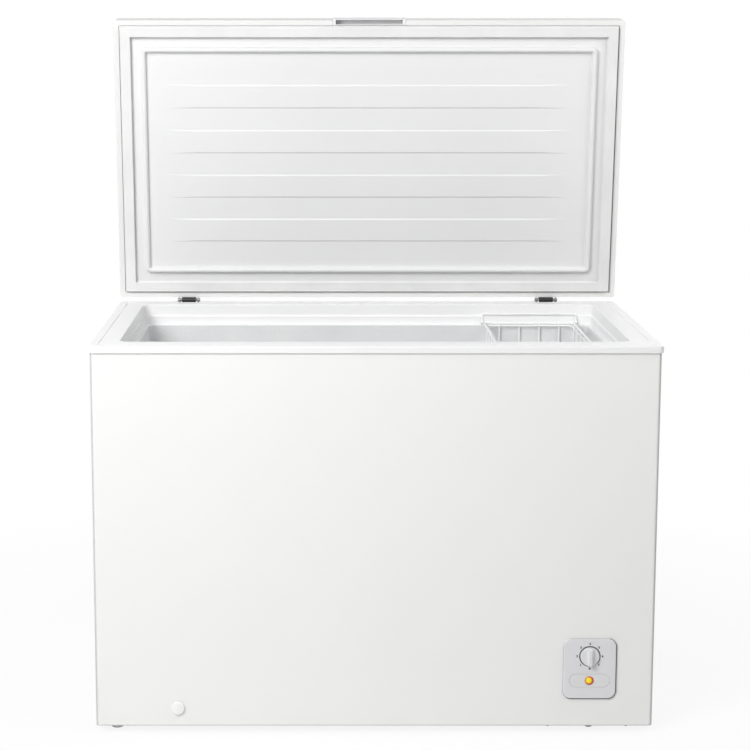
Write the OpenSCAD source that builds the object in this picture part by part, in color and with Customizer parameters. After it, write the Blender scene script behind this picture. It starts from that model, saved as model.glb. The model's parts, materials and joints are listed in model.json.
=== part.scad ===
// Chest freezer with a hinged lid, drawn with the lid open.
// Cabinet frame: x = 0 at mid width, y = 0 at the front sheet, z = 0 at the floor.

/* [Cabinet] */
// Width over the side sheets
cabinet_w = 1110; // [1000:5:1250]
// Depth from the front sheet to the back sheet
cabinet_d = 628; // [590:2:700]
// Height of the top edge of the sheets
cabinet_h = 771; // [740:1:860]
// Gap under the sheets
foot_h = 15; // [12:0.5:22]
// Thickness of the steel sheets
sheet_t = 1; // [0.6:0.1:1.4]
// Radius of the folded front corners
corner_r = 8; // [5:0.5:12]
// Width of the folds at the sheets' top and bottom edges
fold_w = 14; // [10:0.5:18]

/* [Top frame] */
// Distance that the frame stands proud of the sheets
rim_over = 4; // [2:0.5:6]
// Height of the frame above the sheets
rim_h = 12; // [9:0.5:18]
// Corner radius of the frame
rim_r = 12; // [8:1:20]
// Radius along the frame's top edge
rim_edge_r = 3; // [1.5:0.5:4]
// Insulated wall, from the sheet to the throat
wall_t = 53; // [48:1:70]
// Thickness of the moulded frame
rim_t = 2.5; // [2:0.1:3.5]
// Corner radius of the throat
throat_r = 20; // [14:1:34]
// Depth of the throat down to its shelf
shelf_drop = 26; // [20:1:32]
// Width of the shelf
shelf_w = 4; // [3:0.5:6]
// Depth of the throat down to the ledge that carries the basket
throat_drop = 44; // [38:1:50]
// Width of the ledge
ledge_w = 9; // [8:0.5:12]
// Distance of the groove from the frame's edge
groove_in = 18; // [14:0.5:24]
// Width of the groove
groove_w = 3; // [2:0.5:5]
// Depth of the groove
groove_deep = 1.6; // [0.6:0.1:1.8]

/* [Tub] */
// Thickness of the tub's sheet
liner_t = 1.2; // [0.8:0.1:2]
// Corner radius of the tub
tub_r = 18; // [14:1:30]
// Insulated floor
floor_t = 65; // [58:1:80]
// Insulation over the machine space
step_t = 50; // [40:1:65]
// Width of the machine space
machine_w = 219; // [200:1:250]
// Height of the machine space
machine_h = 250; // [235:1:280]

/* [Lid] */
// Gap between the frame and the lid's underside
lid_gap = 8; // [7:0.5:10]
// Thickness of the lid
lid_t = 54; // [48:1:70]
// Corner radius of the lid
lid_r = 6; // [6:0.5:24]
// Radius along the lid's top edge
lid_edge_r = 4.5; // [3:0.5:5.5]
// Distance from the lid's rear edge to the back sheet
lid_back = 10; // [10:0.5:14]
// Angle of the open lid from shut
lid_open = 84; // [70:1:88]
// Thickness of the formed inner lid
inner_t = 2; // [1.5:0.1:3]
// Width of the folded strip round the underside
strip_w = 11.5; // [10:0.5:14]
// Width of the seal
seal_w = 26; // [22:0.5:27]
// Width of the flat band inside the seal
band_w = 21; // [20:0.5:28]
// Width of the bead round the inner lid
bead_w = 11; // [9:0.5:11.5]
// Depth of the bead below the lid's underside
bead_h = 9; // [6:0.5:11]
// Corner radius of the bead
bead_r = 12; // [12:1:36]
// Number of raised bands across the inner lid
rib_count = 4; // [2:1:6]
// Width of a raised band
rib_w = 55; // [30:1:60]
// Distance from one raised band to the next
rib_pitch = 100; // [80:2:110]
// Height of a raised band
rib_h = 2; // [1:0.5:4]
// Plain margin at each end of the raised bands
rib_end = 45; // [40:5:120]
// Width of the bands' sloping edges
rib_slope = 4; // [1:0.5:8]
// Length over which the bands die away at their ends
rib_fade = 60; // [20:5:100]
// Distance of the bands' middle behind the lid's middle
rib_back = 6; // [0:1:10]
// Fall of the inner lid from the seal to the bead
field_drop = 1.5; // [0:0.5:2.5]

/* [Lid handle] */
// Width of the handle
handle_w = 160; // [120:5:220]
// Height of the handle's face
handle_h = 34; // [28:1:40]
// Distance that the handle stands proud of the lid
handle_out = 3; // [2:0.5:5]
// Width of the finger slot
slot_w = 146; // [100:2:150]
// Depth of the finger slot
slot_deep = 22; // [16:1:25]
// Wall round the finger slot
slot_wall = 2; // [1.6:0.1:2.4]

/* [Hinges] */
// Distance of each hinge from the cabinet's side
hinge_in = 151; // [120:1:240]
// Width over a hinge's ears
hinge_w = 46; // [46:1:54]
// Width of a hinge's knuckle
knuckle_w = 31; // [26:1:31]
// Radius of a hinge's knuckle
knuckle_r = 6; // [5.5:0.1:6.2]
// Radius of a hinge pin
pin_r = 2.5; // [2:0.1:3]
// Radial clearance on a hinge pin
pin_clear = 0.05; // [0.02:0.01:0.08]
// Thickness of the hinge plates
hinge_t = 2; // [1.5:0.1:2.4]
// Height of the plate on the cabinet's back
bracket_h = 96; // [80:2:120]
// Height of the plate on the lid's rear edge
leaf_h = 44; // [36:1:46]
// Wire radius of a hinge spring
spring_wire_r = 0.8; // [0.6:0.1:0.8]

/* [Control panel] */
// Distance of the panel's middle from the cabinet's right side
panel_in = 128; // [110:1:150]
// Height of the panel's centre
panel_z = 134; // [110:1:150]
// Width of the panel
panel_w = 105; // [96:1:120]
// Height of the panel
panel_h = 123; // [118:1:140]
// Corner radius of the panel
panel_r = 16; // [10:1:22]
// Thickness of the panel in front of the sheet
panel_t = 4; // [3:0.5:6]
// Radius along the panel's front edge
panel_edge_r = 2.5; // [1:0.5:3]
// Height of the knob above the panel's centre
knob_up = 26; // [22:1:28]
// Radius of the knob
knob_r = 19; // [17:0.5:22]
// Height of the knob's grip
knob_t = 13; // [10:0.5:16]
// Radius of the thermostat's shaft
shaft_r = 3; // [2.5:0.1:3.5]
// Distance of the lamp below the panel's centre
lamp_down = 24; // [22:1:28]
// Width of the lamp's window
window_w = 80; // [66:1:86]
// Height of the lamp's window
window_h = 27; // [22:0.5:30]
// Radius of the lamp's lens
lens_r = 8.6; // [6:0.2:10]

/* [Drain] */
// Distance of the drain from the cabinet's left side
drain_in = 164; // [110:1:220]
// Height of the drain's outlet
drain_z = 52; // [48:1:56]
// Distance of the drain's inlet from the front sheet
drain_y = 118; // [100:1:160]
// Outer radius of the drain pipe
drain_r = 11; // [10:0.2:12]
// Wall of the drain pipe
drain_wall = 2.5; // [2:0.1:3]
// Radius of the drain cap
cap_r = 13.2; // [12.5:0.1:15]

/* [Basket] */
// Width over the basket's wires
basket_w = 205; // [180:5:260]
// Height of the basket
basket_h = 190; // [150:5:210]
// Distance of the basket's middle from the cabinet's right side
basket_in = 195; // [185:5:250]
// Radius of the frame wire
frame_wire_r = 2.5; // [2:0.1:3]
// Radius of the mesh wires
mesh_wire_r = 1.5; // [1.2:0.1:2]
// Number of wires across the basket
cross_wires = 9; // [5:1:12]
// Number of wires along the basket
long_wires = 4; // [3:1:6]
// Length of a handle's legs
bail_leg = 18; // [12:0.5:20]

/* [Machine space] */
// Radius of the compressor's shell
shell_r = 68; // [60:1:76]
// Height of the compressor's shell
shell_h = 150; // [130:1:160]
// Distance of the compressor from the back sheet
shell_back = 190; // [160:5:240]
// Height of the rubber mounts
mount_h = 14; // [10:0.5:18]
// Radius of the coils' tube
coil_r = 4; // [3:0.5:5]
// Number of turns round the tub above the step
cold_turns = 4; // [2:1:5]
// Number of turns inside the outer sheets
warm_turns = 3; // [2:1:4]
// Distance of the coils' joints from the cabinet's left side
coil_gap_in = 255; // [235:5:300]
// Number of slats in the side grille
slat_count = 9; // [5:1:12]
// Width of the side grille
grille_w = 190; // [140:5:220]
// Distance of the grille's middle from the back
grille_in = 170; // [160:5:260]
// Height of the side grille
grille_h = 132; // [110:2:150]

/* [Feet] */
// Distance of the left feet from the cabinet's left side
left_foot_in = 39; // [30:1:75]
// Distance of the right feet from the cabinet's right side
right_foot_in = 122; // [80:1:150]
// Distance of the feet from the front and back sheets
foot_in = 40; // [38:1:60]
// Radius of the left feet
left_foot_r = 13.5; // [11:0.5:16]
// Radius of the right feet's flange
right_foot_r = 20.5; // [18:0.5:22]

/* [Hidden] */
$fn = 48;
gap = 0.3;

// Heights
rim_z = cabinet_h + rim_h;
shelf_z = rim_z - shelf_drop;
ledge_z = rim_z - throat_drop;
tub_top = ledge_z - rim_t;
tub_z = foot_h + floor_t;
pan_z = foot_h + sheet_t;
machine_z = pan_z + machine_h;
step_z = machine_z + sheet_t + step_t;
lid_z = rim_z + lid_gap;

// Plans
mid_y = cabinet_d / 2;
rim_w = cabinet_w + 2 * rim_over;
rim_d = cabinet_d + rim_over;
rim_y = (cabinet_d - rim_over) / 2;
open_w = cabinet_w - 2 * wall_t;
open_d = cabinet_d - 2 * wall_t;
low_w = open_w - 2 * shelf_w;
low_d = open_d - 2 * shelf_w;
tub_w = low_w - 2 * ledge_w;
tub_d = low_d - 2 * ledge_w;
flange_w = liner_t + 6;
inside_x = cabinet_w / 2 - sheet_t;
machine_x = inside_x - machine_w;
hinge_x = cabinet_w / 2 - hinge_in;
panel_x = cabinet_w / 2 - panel_in;
drain_x = cabinet_w / 2 - drain_in;
basket_x = cabinet_w / 2 - basket_in;
left_foot_x = cabinet_w / 2 - left_foot_in;
right_foot_x = cabinet_w / 2 - right_foot_in;
step_x = machine_x - sheet_t - step_t;
rim_solid = rim_over + sheet_t + fold_w + 0.5;

// Lid, shut
lid_w = rim_w;
lid_d = rim_d - lid_back;
lid_y = lid_d / 2 - rim_over;
lid_rear = cabinet_d - lid_back;
axis_y = lid_rear + 5;
axis_z = rim_z + 4;
plug_in = strip_w + seal_w + band_w;
seal_z = rim_z + gap;

// Middle of the depth that the open lid and the knob reach over
rear_reach = axis_y + (lid_z + lid_t - axis_z) * sin(lid_open) - (axis_y - lid_rear) * cos(lid_open);
origin_y = (rear_reach - panel_t - gap - knob_t) / 2;

// Controls
knob_z = panel_z + knob_up;
lamp_z = panel_z - lamp_down;
boss_t = 5;
boss_in = 10;

// Basket
frame_z = ledge_z + gap + frame_wire_r;
body_d = tub_d - 8;
pivot_z = frame_z + frame_wire_r + 0.3;
pivot_r = 1.8;
eye_r = 4;
eye_t = 4;
bail_x = basket_w / 2 + gap + eye_t / 2;
bail_y = low_d / 2 - 7;
lean = asin((7 - mesh_wire_r - 2 * gap) / bail_leg);

// Machine space
shell_x = machine_x + machine_w / 2;
shell_y = cabinet_d - shell_back;
base_z = pan_z + 1.6;
plate_z = base_z + mount_h;
mount_x = 70;
mount_y = 46;
grille_y = cabinet_d - grille_in;
grille_z = pan_z + machine_h / 2;

screw_r = 2;
screw_head_r = 4.2;
screw_head_t = 2.4;
base_screw_x = [machine_x + 12, inside_x - 51];

module place() { translate([0, -origin_y, 0]) children(); }

module place_lid() {
    place() translate([0, axis_y, axis_z]) rotate([-lid_open, 0, 0])
        translate([0, -axis_y, -axis_z]) children();
}

module round_rect(w, d, r) {
    square([w - 2 * r, d], center = true);
    square([w, d - 2 * r], center = true);
    for (x = [-1, 1], y = [-1, 1]) translate([x * (w / 2 - r), y * (d / 2 - r)]) circle(r);
}

// Rounded block between two heights, centred in plan
module slab(w, d, r, z0, z1) { translate([0, 0, z0]) linear_extrude(z1 - z0) round_rect(w, d, r); }

// Block between two corners
module block(low, high) { translate(low) cube(high - low); }

// Sweeps a profile round a rounded rectangle: the profile's x is outwards, its y is up
module frame_sweep(w, d, r) {
    for (side = [[0, w, d], [90, d, w], [180, w, d], [270, d, w]])
        rotate(side[0]) translate([side[1] / 2, 0, 0]) rotate([90, 0, 0])
            linear_extrude(side[2] - 2 * r, center = true) children();
    for (turn = [0, 90, 180, 270]) {
        long = turn % 180 == 0 ? [w, d] : [d, w];
        rotate(turn) translate([long[0] / 2 - r, long[1] / 2 - r, 0])
            rotate_extrude(angle = 90) translate([r, 0]) children();
    }
}

// Shape left outside a round edge of radius r, with the edge's corner at the origin
module edge_cut(r) { translate([-r, -r]) difference() { square(r + 1); circle(r); } }

// Round bar along x, y or z from a start point
module bar_x(start, length, r) { translate(start) rotate([0, 90, 0]) cylinder(r = r, h = length); }
module bar_y(start, length, r) { translate(start) rotate([-90, 0, 0]) cylinder(r = r, h = length); }
module bar_z(start, length, r) { translate(start) cylinder(r = r, h = length); }

// Bent pipe through points, with a ball at each bend
module pipe(points, r) {
    for (i = [0 : len(points) - 2]) {
        run = points[i + 1] - points[i];
        length = norm(run);
        translate(points[i]) rotate([0, acos(run[2] / length), atan2(run[1], run[0])])
            cylinder(r = r, h = length);
        if (i > 0) translate(points[i]) sphere(r);
    }
}

// Screw with its head seated at the origin and its shank along -z
module screw(length) {
    cylinder(r1 = screw_head_r, r2 = screw_head_r - 1.4, h = screw_head_t);
    translate([0, 0, -length]) cylinder(r = screw_r, h = length);
}

// ---- cabinet ----

// Plan of the front and side sheets, inset from their outer faces
module cabinet_plan(inset, back) {
    w = cabinet_w / 2 - inset;
    r = max(corner_r - inset, 0.6);
    translate([-w, inset + r]) square([2 * w, back - inset - r]);
    translate([r - w, inset]) square([2 * (w - r), r + 1]);
    for (x = [-1, 1]) translate([x * (w - r), inset + r]) circle(r);
}

module cabinet_prism(inset, back, z0, z1) {
    translate([0, 0, z0]) linear_extrude(z1 - z0) cabinet_plan(inset, back);
}

module panel_prism(inset, y0, y1) {
    translate([panel_x, y1, panel_z]) rotate([90, 0, 0]) linear_extrude(y1 - y0)
        round_rect(panel_w - 2 * inset, panel_h - 2 * inset, panel_r - inset / 2);
}

module outer_wrapper() color("white") place() difference() {
    cabinet_prism(0, cabinet_d - sheet_t, foot_h, cabinet_h);
    cabinet_prism(sheet_t, cabinet_d + 1, foot_h + sheet_t, cabinet_h - sheet_t);
    cabinet_prism(sheet_t + fold_w, cabinet_d + 1, foot_h - 1, cabinet_h + 1);
    panel_prism(boss_in - 0.5, -1, sheet_t + 1);
    bar_y([-drain_x, -1, drain_z], sheet_t + 2, drain_r + gap);
    grille_opening(0);
    for (x = base_screw_x) bar_z([x, fold_w / 2, foot_h - 1], sheet_t + 2, screw_r + gap);
}

module back_panel() color("gainsboro") place() difference() {
    union() {
        block([-cabinet_w / 2, cabinet_d - sheet_t, foot_h], [cabinet_w / 2, cabinet_d, cabinet_h]);
        for (x = back_rib_x) translate([x, cabinet_d + 3, back_rib_z]) rotate([90, 0, 0])
            linear_extrude(3) round_rect(60, back_rib_h, 20);
    }
    for (x = back_rib_x) translate([x, cabinet_d + 3 - sheet_t, back_rib_z]) rotate([90, 0, 0])
        linear_extrude(4) round_rect(60 - 2 * sheet_t, back_rib_h - 2 * sheet_t, 20 - sheet_t);
    cover_opening();
    hinge_screw_holes();
    for (p = cover_screw_at) bar_y([p[0], cabinet_d - sheet_t - 1, p[1]], sheet_t + 2, screw_r + gap);
}
back_rib_x = [-cabinet_w / 4, 0, cabinet_w / 4];
back_rib_z = (machine_z + cabinet_h) / 2;
back_rib_h = cabinet_h - machine_z - 90;

module cover_opening() {
    block([machine_x + 14, cabinet_d - sheet_t - 1, pan_z + 14],
          [inside_x - 14, cabinet_d + 1, machine_z - 14]);
}

// One folded sheet: the floor, the wall beside the machine space and the roof over it
module bottom_pan() color("silver") place() difference() {
    translate([0, cabinet_d - sheet_t, 0]) rotate([90, 0, 0]) linear_extrude(cabinet_d - 2 * sheet_t)
        polygon([[-inside_x, pan_z], [machine_x, pan_z], [machine_x, machine_z], [inside_x, machine_z],
                 [inside_x, machine_z + sheet_t], [machine_x - sheet_t, machine_z + sheet_t],
                 [machine_x - sheet_t, pan_z + sheet_t], [-inside_x, pan_z + sheet_t]]);
    corner_clear(pan_z - 1, pan_z + sheet_t + 1);
    corner_clear(machine_z - 1, machine_z + sheet_t + 1);
}

// Material outside the rounded front corners of the space inside the sheets
module corner_clear(z0, z1) {
    difference() {
        block([-cabinet_w, -1, z0], [cabinet_w, corner_r + 2, z1]);
        cabinet_prism(sheet_t, cabinet_d, z0 - 1, z1 + 1);
    }
}

// Space of the throat down to its two ledges, grown outwards by a thickness
module throat_space(grow, top) {
    r = throat_r + grow;
    translate([0, mid_y, 0]) {
        slab(open_w + 2 * grow, open_d + 2 * grow, r, shelf_z - grow, top);
        slab(low_w + 2 * grow, low_d + 2 * grow, r, ledge_z - grow, shelf_z + 1);
    }
}

// Space of the tub, grown outwards by a thickness
module tub_space(grow, top) {
    r = tub_r + grow;
    translate([0, mid_y, 0]) {
        slab(tub_w + 2 * grow, tub_d + 2 * grow, r, step_z - grow, top);
        translate([(step_x - tub_w / 2) / 2, 0, 0])
            slab(step_x + tub_w / 2 + 2 * grow, tub_d + 2 * grow, r, tub_z - grow, step_z + 1);
    }
}

module body_foam() color("wheat") place() difference() {
    union() {
        cabinet_prism(sheet_t, cabinet_d - sheet_t, pan_z + sheet_t, cabinet_h - sheet_t);
        frame_block(rim_solid, cabinet_h - sheet_t - 1, rim_z - rim_t);
    }
    tub_space(liner_t, tub_top + 1);
    throat_space(rim_t, rim_z);
    translate([0, mid_y, 0]) slab(tub_w + 2 * flange_w + 2, tub_d + 2 * flange_w + 2, tub_r + flange_w + 1,
                                  tub_top - liner_t, tub_top + 1);
    block([machine_x - sheet_t, 0, 0], [cabinet_w, cabinet_d, machine_z + sheet_t]);
    coil_grooves(cold_loops, 0);
    coil_grooves(warm_loops, 0);
    block([coil_gap_x - 30, mid_y + tub_d / 2, cold_loops[0][0] - coil_r - gap],
          [coil_gap_x + 30, mid_y + tub_d / 2 + liner_t + 2 * coil_r + 2 * gap,
           cold_loops[len(cold_loops) - 1][0] + coil_r + gap]);
    block([coil_gap_x - 30, cabinet_d - sheet_t - 2 * coil_r - 2 * gap, warm_loops[0][0] - coil_r - gap],
          [coil_gap_x + 30, cabinet_d, warm_loops[len(warm_loops) - 1][0] + coil_r + gap]);
    drain_run(drain_r + gap);
    hinge_screw_holes();
}

module inner_liner() color("whitesmoke") place() difference() {
    union() {
        tub_space(liner_t, tub_top);
        translate([0, mid_y, 0]) slab(tub_w + 2 * flange_w, tub_d + 2 * flange_w, tub_r + flange_w,
                                      tub_top - liner_t, tub_top);
    }
    tub_space(0, tub_top + 1);
    bar_z([-drain_x, drain_y, tub_z - liner_t - 1], liner_t + 2, drain_r - drain_wall + 1);
}

// ---- top frame ----

module frame_block(inset, z0, z1) {
    translate([0, rim_y, 0])
        slab(rim_w - 2 * inset, rim_d - 2 * inset, max(rim_r - inset, 1), z0, z1);
}

module top_frame() color("white") place() difference() {
    union() {
        difference() {
            frame_block(0, cabinet_h, rim_z);
            frame_block(rim_solid, cabinet_h - 1, rim_z - rim_t);
        }
        // lip over the top edge of the sheets
        difference() {
            frame_block(0, cabinet_h - 2, cabinet_h + 1);
            frame_block(rim_over - gap, cabinet_h - 3, cabinet_h + 2);
            block([-cabinet_w, cabinet_d - 20, cabinet_h - 3], [cabinet_w, cabinet_d + 10, cabinet_h]);
        }
        throat_space(rim_t, rim_z);
    }
    throat_space(0, rim_z + 1);
    translate([0, mid_y, 0]) slab(tub_w, tub_d, tub_r, tub_top - 1, ledge_z + 1);
    translate([0, rim_y, rim_z]) frame_sweep(rim_w, rim_d, rim_r) edge_cut(rim_edge_r);
    translate([0, mid_y, rim_z]) frame_sweep(open_w, open_d, throat_r) mirror([1, 0]) edge_cut(2);
    difference() {
        frame_block(groove_in, rim_z - groove_deep, rim_z + 1);
        frame_block(groove_in + groove_w, rim_z - groove_deep - 1, rim_z + 2);
    }
    for (x = [-hinge_x, hinge_x])
        block([x - hinge_w / 2 - 0.5, axis_y - knuckle_r - 2, cabinet_h - 3],
              [x + hinge_w / 2 + 0.5, cabinet_d + 5, rim_z + 1]);
}

// ---- refrigerant coils in the walls ----

coil_gap_x = coil_gap_in - cabinet_w / 2;
cold_grow = liner_t + coil_r + gap;
warm_inset = sheet_t + coil_r + gap;
cold_loops = concat(
    [for (i = [0 : 1]) [tub_z + 60 + i * (step_z - tub_z - 100), -tub_w / 2 - cold_grow, step_x + cold_grow]],
    [for (i = [0 : cold_turns - 1])
        [step_z + 40 + i * (tub_top - step_z - 90) / (cold_turns - 1),
         -tub_w / 2 - cold_grow, tub_w / 2 + cold_grow]]);
warm_loops = [for (i = [0 : warm_turns - 1])
    [machine_z + 50 + i * (cabinet_h - machine_z - 110) / (warm_turns - 1),
     -cabinet_w / 2 + warm_inset, cabinet_w / 2 - warm_inset]];

// Loops of tube round a plan of depth d, joined at the back into one run
module coil(loops, d, r) {
    for (i = [0 : len(loops) - 1]) {
        z = loops[i][0];
        x0 = loops[i][1];
        x1 = loops[i][2];
        for (y = [-1, 1], x = [0, 1])
            translate([x ? x1 - r : x0 + r, y * (d / 2 - r), z])
                rotate(x ? (y > 0 ? 0 : 270) : (y > 0 ? 90 : 180))
                    rotate_extrude(angle = 90) translate([r, 0]) circle(coil_r);
        bar_x([x0 + r, -d / 2, z], x1 - x0 - 2 * r, coil_r);
        bar_x([x0 + r, d / 2, z], coil_gap_x - 15 - x0 - r, coil_r);
        bar_x([coil_gap_x + 15, d / 2, z], x1 - r - coil_gap_x - 15, coil_r);
        for (x = [x0, x1]) bar_y([x, r - d / 2, z], d - 2 * r, coil_r);
        if (i > 0) {
            jump_x = coil_gap_x + (i % 2 == 0 ? 15 : -15);
            bar_z([jump_x, d / 2, loops[i - 1][0]], z - loops[i - 1][0], coil_r);
            for (end = [loops[i - 1][0], z]) translate([jump_x, d / 2, end]) sphere(coil_r);
        }
    }
}

// Channels that hold the loops
module coil_grooves(loops, grow) {
    cold = loops == cold_loops;
    edge = cold ? cold_grow : -warm_inset;
    for (loop = loops) translate([(loop[1] + loop[2]) / 2, mid_y, 0]) {
        w = loop[2] - loop[1];
        d = (cold ? tub_d : cabinet_d) + 2 * edge;
        half = coil_r + gap;
        r = cold ? tub_r + edge : 14;
        difference() {
            slab(w + 2 * half, d + 2 * half, r + half, loop[0] - half, loop[0] + half);
            slab(w - 2 * half, d - 2 * half, r - half, loop[0] - half - 1, loop[0] + half + 1);
        }
    }
}

module evaporator_coil() color("silver") place() translate([0, mid_y, 0])
    coil(cold_loops, tub_d + 2 * cold_grow, tub_r + cold_grow);

module condenser_coil() color("peru") place() translate([0, mid_y, 0])
    coil(warm_loops, cabinet_d - 2 * warm_inset, 14);

// ---- machine space ----

module machine_base() color("silver") place() difference() {
    union() {
        block([machine_x + gap, sheet_t + gap, pan_z], [inside_x - gap, cabinet_d - sheet_t - gap, base_z]);
        for (x = [machine_x + gap, inside_x - gap - 1.6])
            block([x, sheet_t + gap + 10, pan_z], [x + 1.6, cabinet_d - sheet_t - gap, base_z + 14]);
    }
    corner_clear(pan_z - 1, base_z + 1);
    for (x = base_screw_x) bar_z([x, fold_w / 2, pan_z - 1], 4, screw_r + gap);
    for (y = foot_rows) bar_z([right_foot_x, y, pan_z - 1], 4, 3 + gap);
    for (x = [-36 : 24 : 36]) translate([shell_x + x, mid_y - 100, pan_z - 1])
        linear_extrude(4) round_rect(10, 120, 4.9);
}
foot_rows = [foot_in, cabinet_d - foot_in];

module compressor() color("#202124") place() translate([shell_x, shell_y, plate_z]) {
    z0 = 6;
    rotate_extrude() {
        translate([0, z0]) square([shell_r - 14, shell_h - z0]);
        translate([0, z0 + 14]) square([shell_r, shell_h - z0 - 28]);
        for (z = [z0 + 14, shell_h - 14]) translate([shell_r - 14, z]) intersection() {
            circle(14);
            translate([-14, -14]) square(28);
        }
        translate([0, shell_h * 0.62]) square([shell_r + 4, 3]);
    }
    difference() {
        slab(2 * mount_x + 30, 2 * mount_y + 30, 12, 0, 3);
        for (x = [-mount_x, mount_x], y = [-mount_y, mount_y]) bar_z([x, y, -1], 5, 6.3);
    }
    translate([0, 0, 2]) cylinder(r = shell_r - 18, h = 6);
    for (z = pipe_stub_z) bar_y([pipe_stub_x(z), shell_r - 10, z], 22, 5);
}
pipe_stub_z = [52, 84, 116];
function pipe_stub_x(z) = (z - 84) * 0.6;

module compressor_mounts() color("#111111") place()
    for (x = [-mount_x, mount_x], y = [-mount_y, mount_y]) translate([shell_x + x, shell_y + y, 0])
        rotate_extrude() {
            translate([3.3, base_z]) square([7.7, mount_h]);
            translate([3.3, plate_z]) square([2.7, 3.2]);
            translate([3.3, plate_z + 3.2]) square([5.7, 4]);
        }

module compressor_nuts() color("silver") place()
    for (x = [-mount_x, mount_x], y = [-mount_y, mount_y]) translate([shell_x + x, shell_y + y, 0]) {
        bar_z([0, 0, base_z], mount_h + 16, 3);
        bar_z([0, 0, plate_z + 7.2], 1.2, 9);
        translate([0, 0, plate_z + 8.4]) cylinder(r = 5.8, h = 5, $fn = 6);
    }

module starter_relay() color("#18191b") place() difference() {
    translate([shell_x, shell_y - shell_r - 12, plate_z + 50]) rotate([90, 0, 0])
        linear_extrude(46, center = true) round_rect(64, 60, 6);
    bar_z([shell_x, shell_y, plate_z], shell_h, shell_r + gap);
    bar_z([shell_x, shell_y, plate_z + shell_h * 0.62 - 1], 6, shell_r + 5);
}

pipe_back = shell_r / 2;

module suction_pipe() color("peru") place() {
    z = plate_z + pipe_stub_z[2];
    x = shell_x + pipe_stub_x(pipe_stub_z[2]);
    y = shell_y + shell_r + 12;
    pipe([[x, y, z], [x, y + pipe_back, z], [x, y + pipe_back, machine_z]], 4);
}

module discharge_pipe() color("peru") place() {
    z = plate_z + pipe_stub_z[0];
    x = shell_x + pipe_stub_x(pipe_stub_z[0]);
    y = shell_y + shell_r + 12;
    out = y + pipe_back - 14;
    side = x - shell_r / 2;
    pipe([[x, y, z], [x, out, z], [side, out, z], [side, out, machine_z]], 3);
}

module charging_pipe() color("peru") place() {
    z = plate_z + pipe_stub_z[1];
    x = shell_x + pipe_stub_x(pipe_stub_z[1]);
    y = shell_y + shell_r + 12;
    pipe([[x, y, z], [x, y + pipe_back + 24, z]], 3);
    bar_y([x, y + pipe_back + 24, z], 10, 1.6);
}

drier_x = inside_x - 26;
drier_y = shell_y + shell_r + 60;
module filter_drier() color("peru") place() translate([drier_x, drier_y, base_z]) {
    rotate_extrude() {
        polygon([[0, 36], [3, 36], [9, 52], [9, 118], [3, 134], [0, 134]]);
        square([2.6, 37]);
    }
    bar_z([0, 0, 133], 12, 2.6);
}

module capillary_tube() color("peru") place() translate([drier_x, drier_y, base_z + 145]) {
    for (i = [0 : 3]) translate([-22, 0, 2 + i * 2.3]) rotate_extrude() translate([22, 0]) circle(1.2);
    bar_z([0, 0, 0], 3, 1.2);
    bar_z([-44, 0, 2], machine_z - base_z - 147, 1.2);
}

// Opening in the right side sheet, grown by a margin
module grille_opening(grow) {
    translate([cabinet_w / 2 - sheet_t - 2, grille_y, grille_z]) rotate([90, 0, 90])
        linear_extrude(sheet_t + 4) round_rect(grille_w - 12 + 2 * grow, grille_h - 12 + 2 * grow, 5);
}

module side_grille() color("white") place() {
    face = cabinet_w / 2;
    pitch = (grille_h - 16) / slat_count;
    translate([face, grille_y, grille_z]) rotate([90, 0, 90]) linear_extrude(2.4) difference() {
        round_rect(grille_w, grille_h, 8);
        round_rect(grille_w - 16, grille_h - 16, 4);
    }
    for (i = [0 : slat_count - 1])
        translate([face + 0.4, grille_y, grille_z - grille_h / 2 + 8 + (i + 0.5) * pitch])
            rotate([90, 0, 0]) linear_extrude(grille_w - 15, center = true)
                polygon([[-5, pitch * 0.42], [-5, pitch * 0.42 - 1.6],
                         [1.6, -pitch * 0.5], [1.6, 1.6 - pitch * 0.5]]);
    for (y = [-1, 0, 1]) translate([face - 1.2, grille_y + y * (grille_w - 16) / 3, grille_z])
        cube([2.4, 2, grille_h - 15], center = true);
}

cover_screw_at = [for (x = [machine_x + 9, inside_x - 9], z = [pan_z + 40, machine_z - 40]) [x, z]];
module rear_cover() color("silver") place() difference() {
    union() {
        block([machine_x + 4, cabinet_d, pan_z + 4], [inside_x - 4, cabinet_d + sheet_t, machine_z - 4]);
        for (i = [0 : 7]) translate([shell_x, cabinet_d + sheet_t, pan_z + 66 + i * 21])
            rotate([0, 90, 0]) linear_extrude(machine_w - 70, center = true) difference() {
                circle(5);
                translate([-6, -10]) square([12, 10]);
            }
    }
    for (i = [0 : 7]) {
        translate([shell_x, cabinet_d + sheet_t, pan_z + 66 + i * 21])
            rotate([0, 90, 0]) linear_extrude(machine_w - 72, center = true) circle(4);
        block([machine_x, cabinet_d + sheet_t, pan_z + 59 + i * 21],
              [inside_x, cabinet_d + 9, pan_z + 66 + i * 21]);
    }
    bar_y([cord_x, cabinet_d - 2, cord_z], 6, 8 + gap);
    for (p = cover_screw_at) bar_y([p[0], cabinet_d - 1, p[1]], 4, screw_r + gap);
}
cord_x = machine_x + 46;
cord_z = pan_z + 36;

module cord_inlet() color("#222222") place() difference() {
    union() {
        bar_y([cord_x, cabinet_d - 6, cord_z], 7 + sheet_t, 8);
        bar_y([cord_x, cabinet_d + sheet_t, cord_z], 3, 11);
        translate([cord_x, cabinet_d + sheet_t + 3, cord_z]) rotate([-90, 0, 0])
            cylinder(r1 = 9, r2 = 7, h = 8);
        bar_y([cord_x, cabinet_d - 9, cord_z], 3 + 6 - sheet_t - gap, 8);
    }
    bar_y([cord_x, cabinet_d - 20, cord_z], 40, 4);
}

// ---- controls ----

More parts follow.
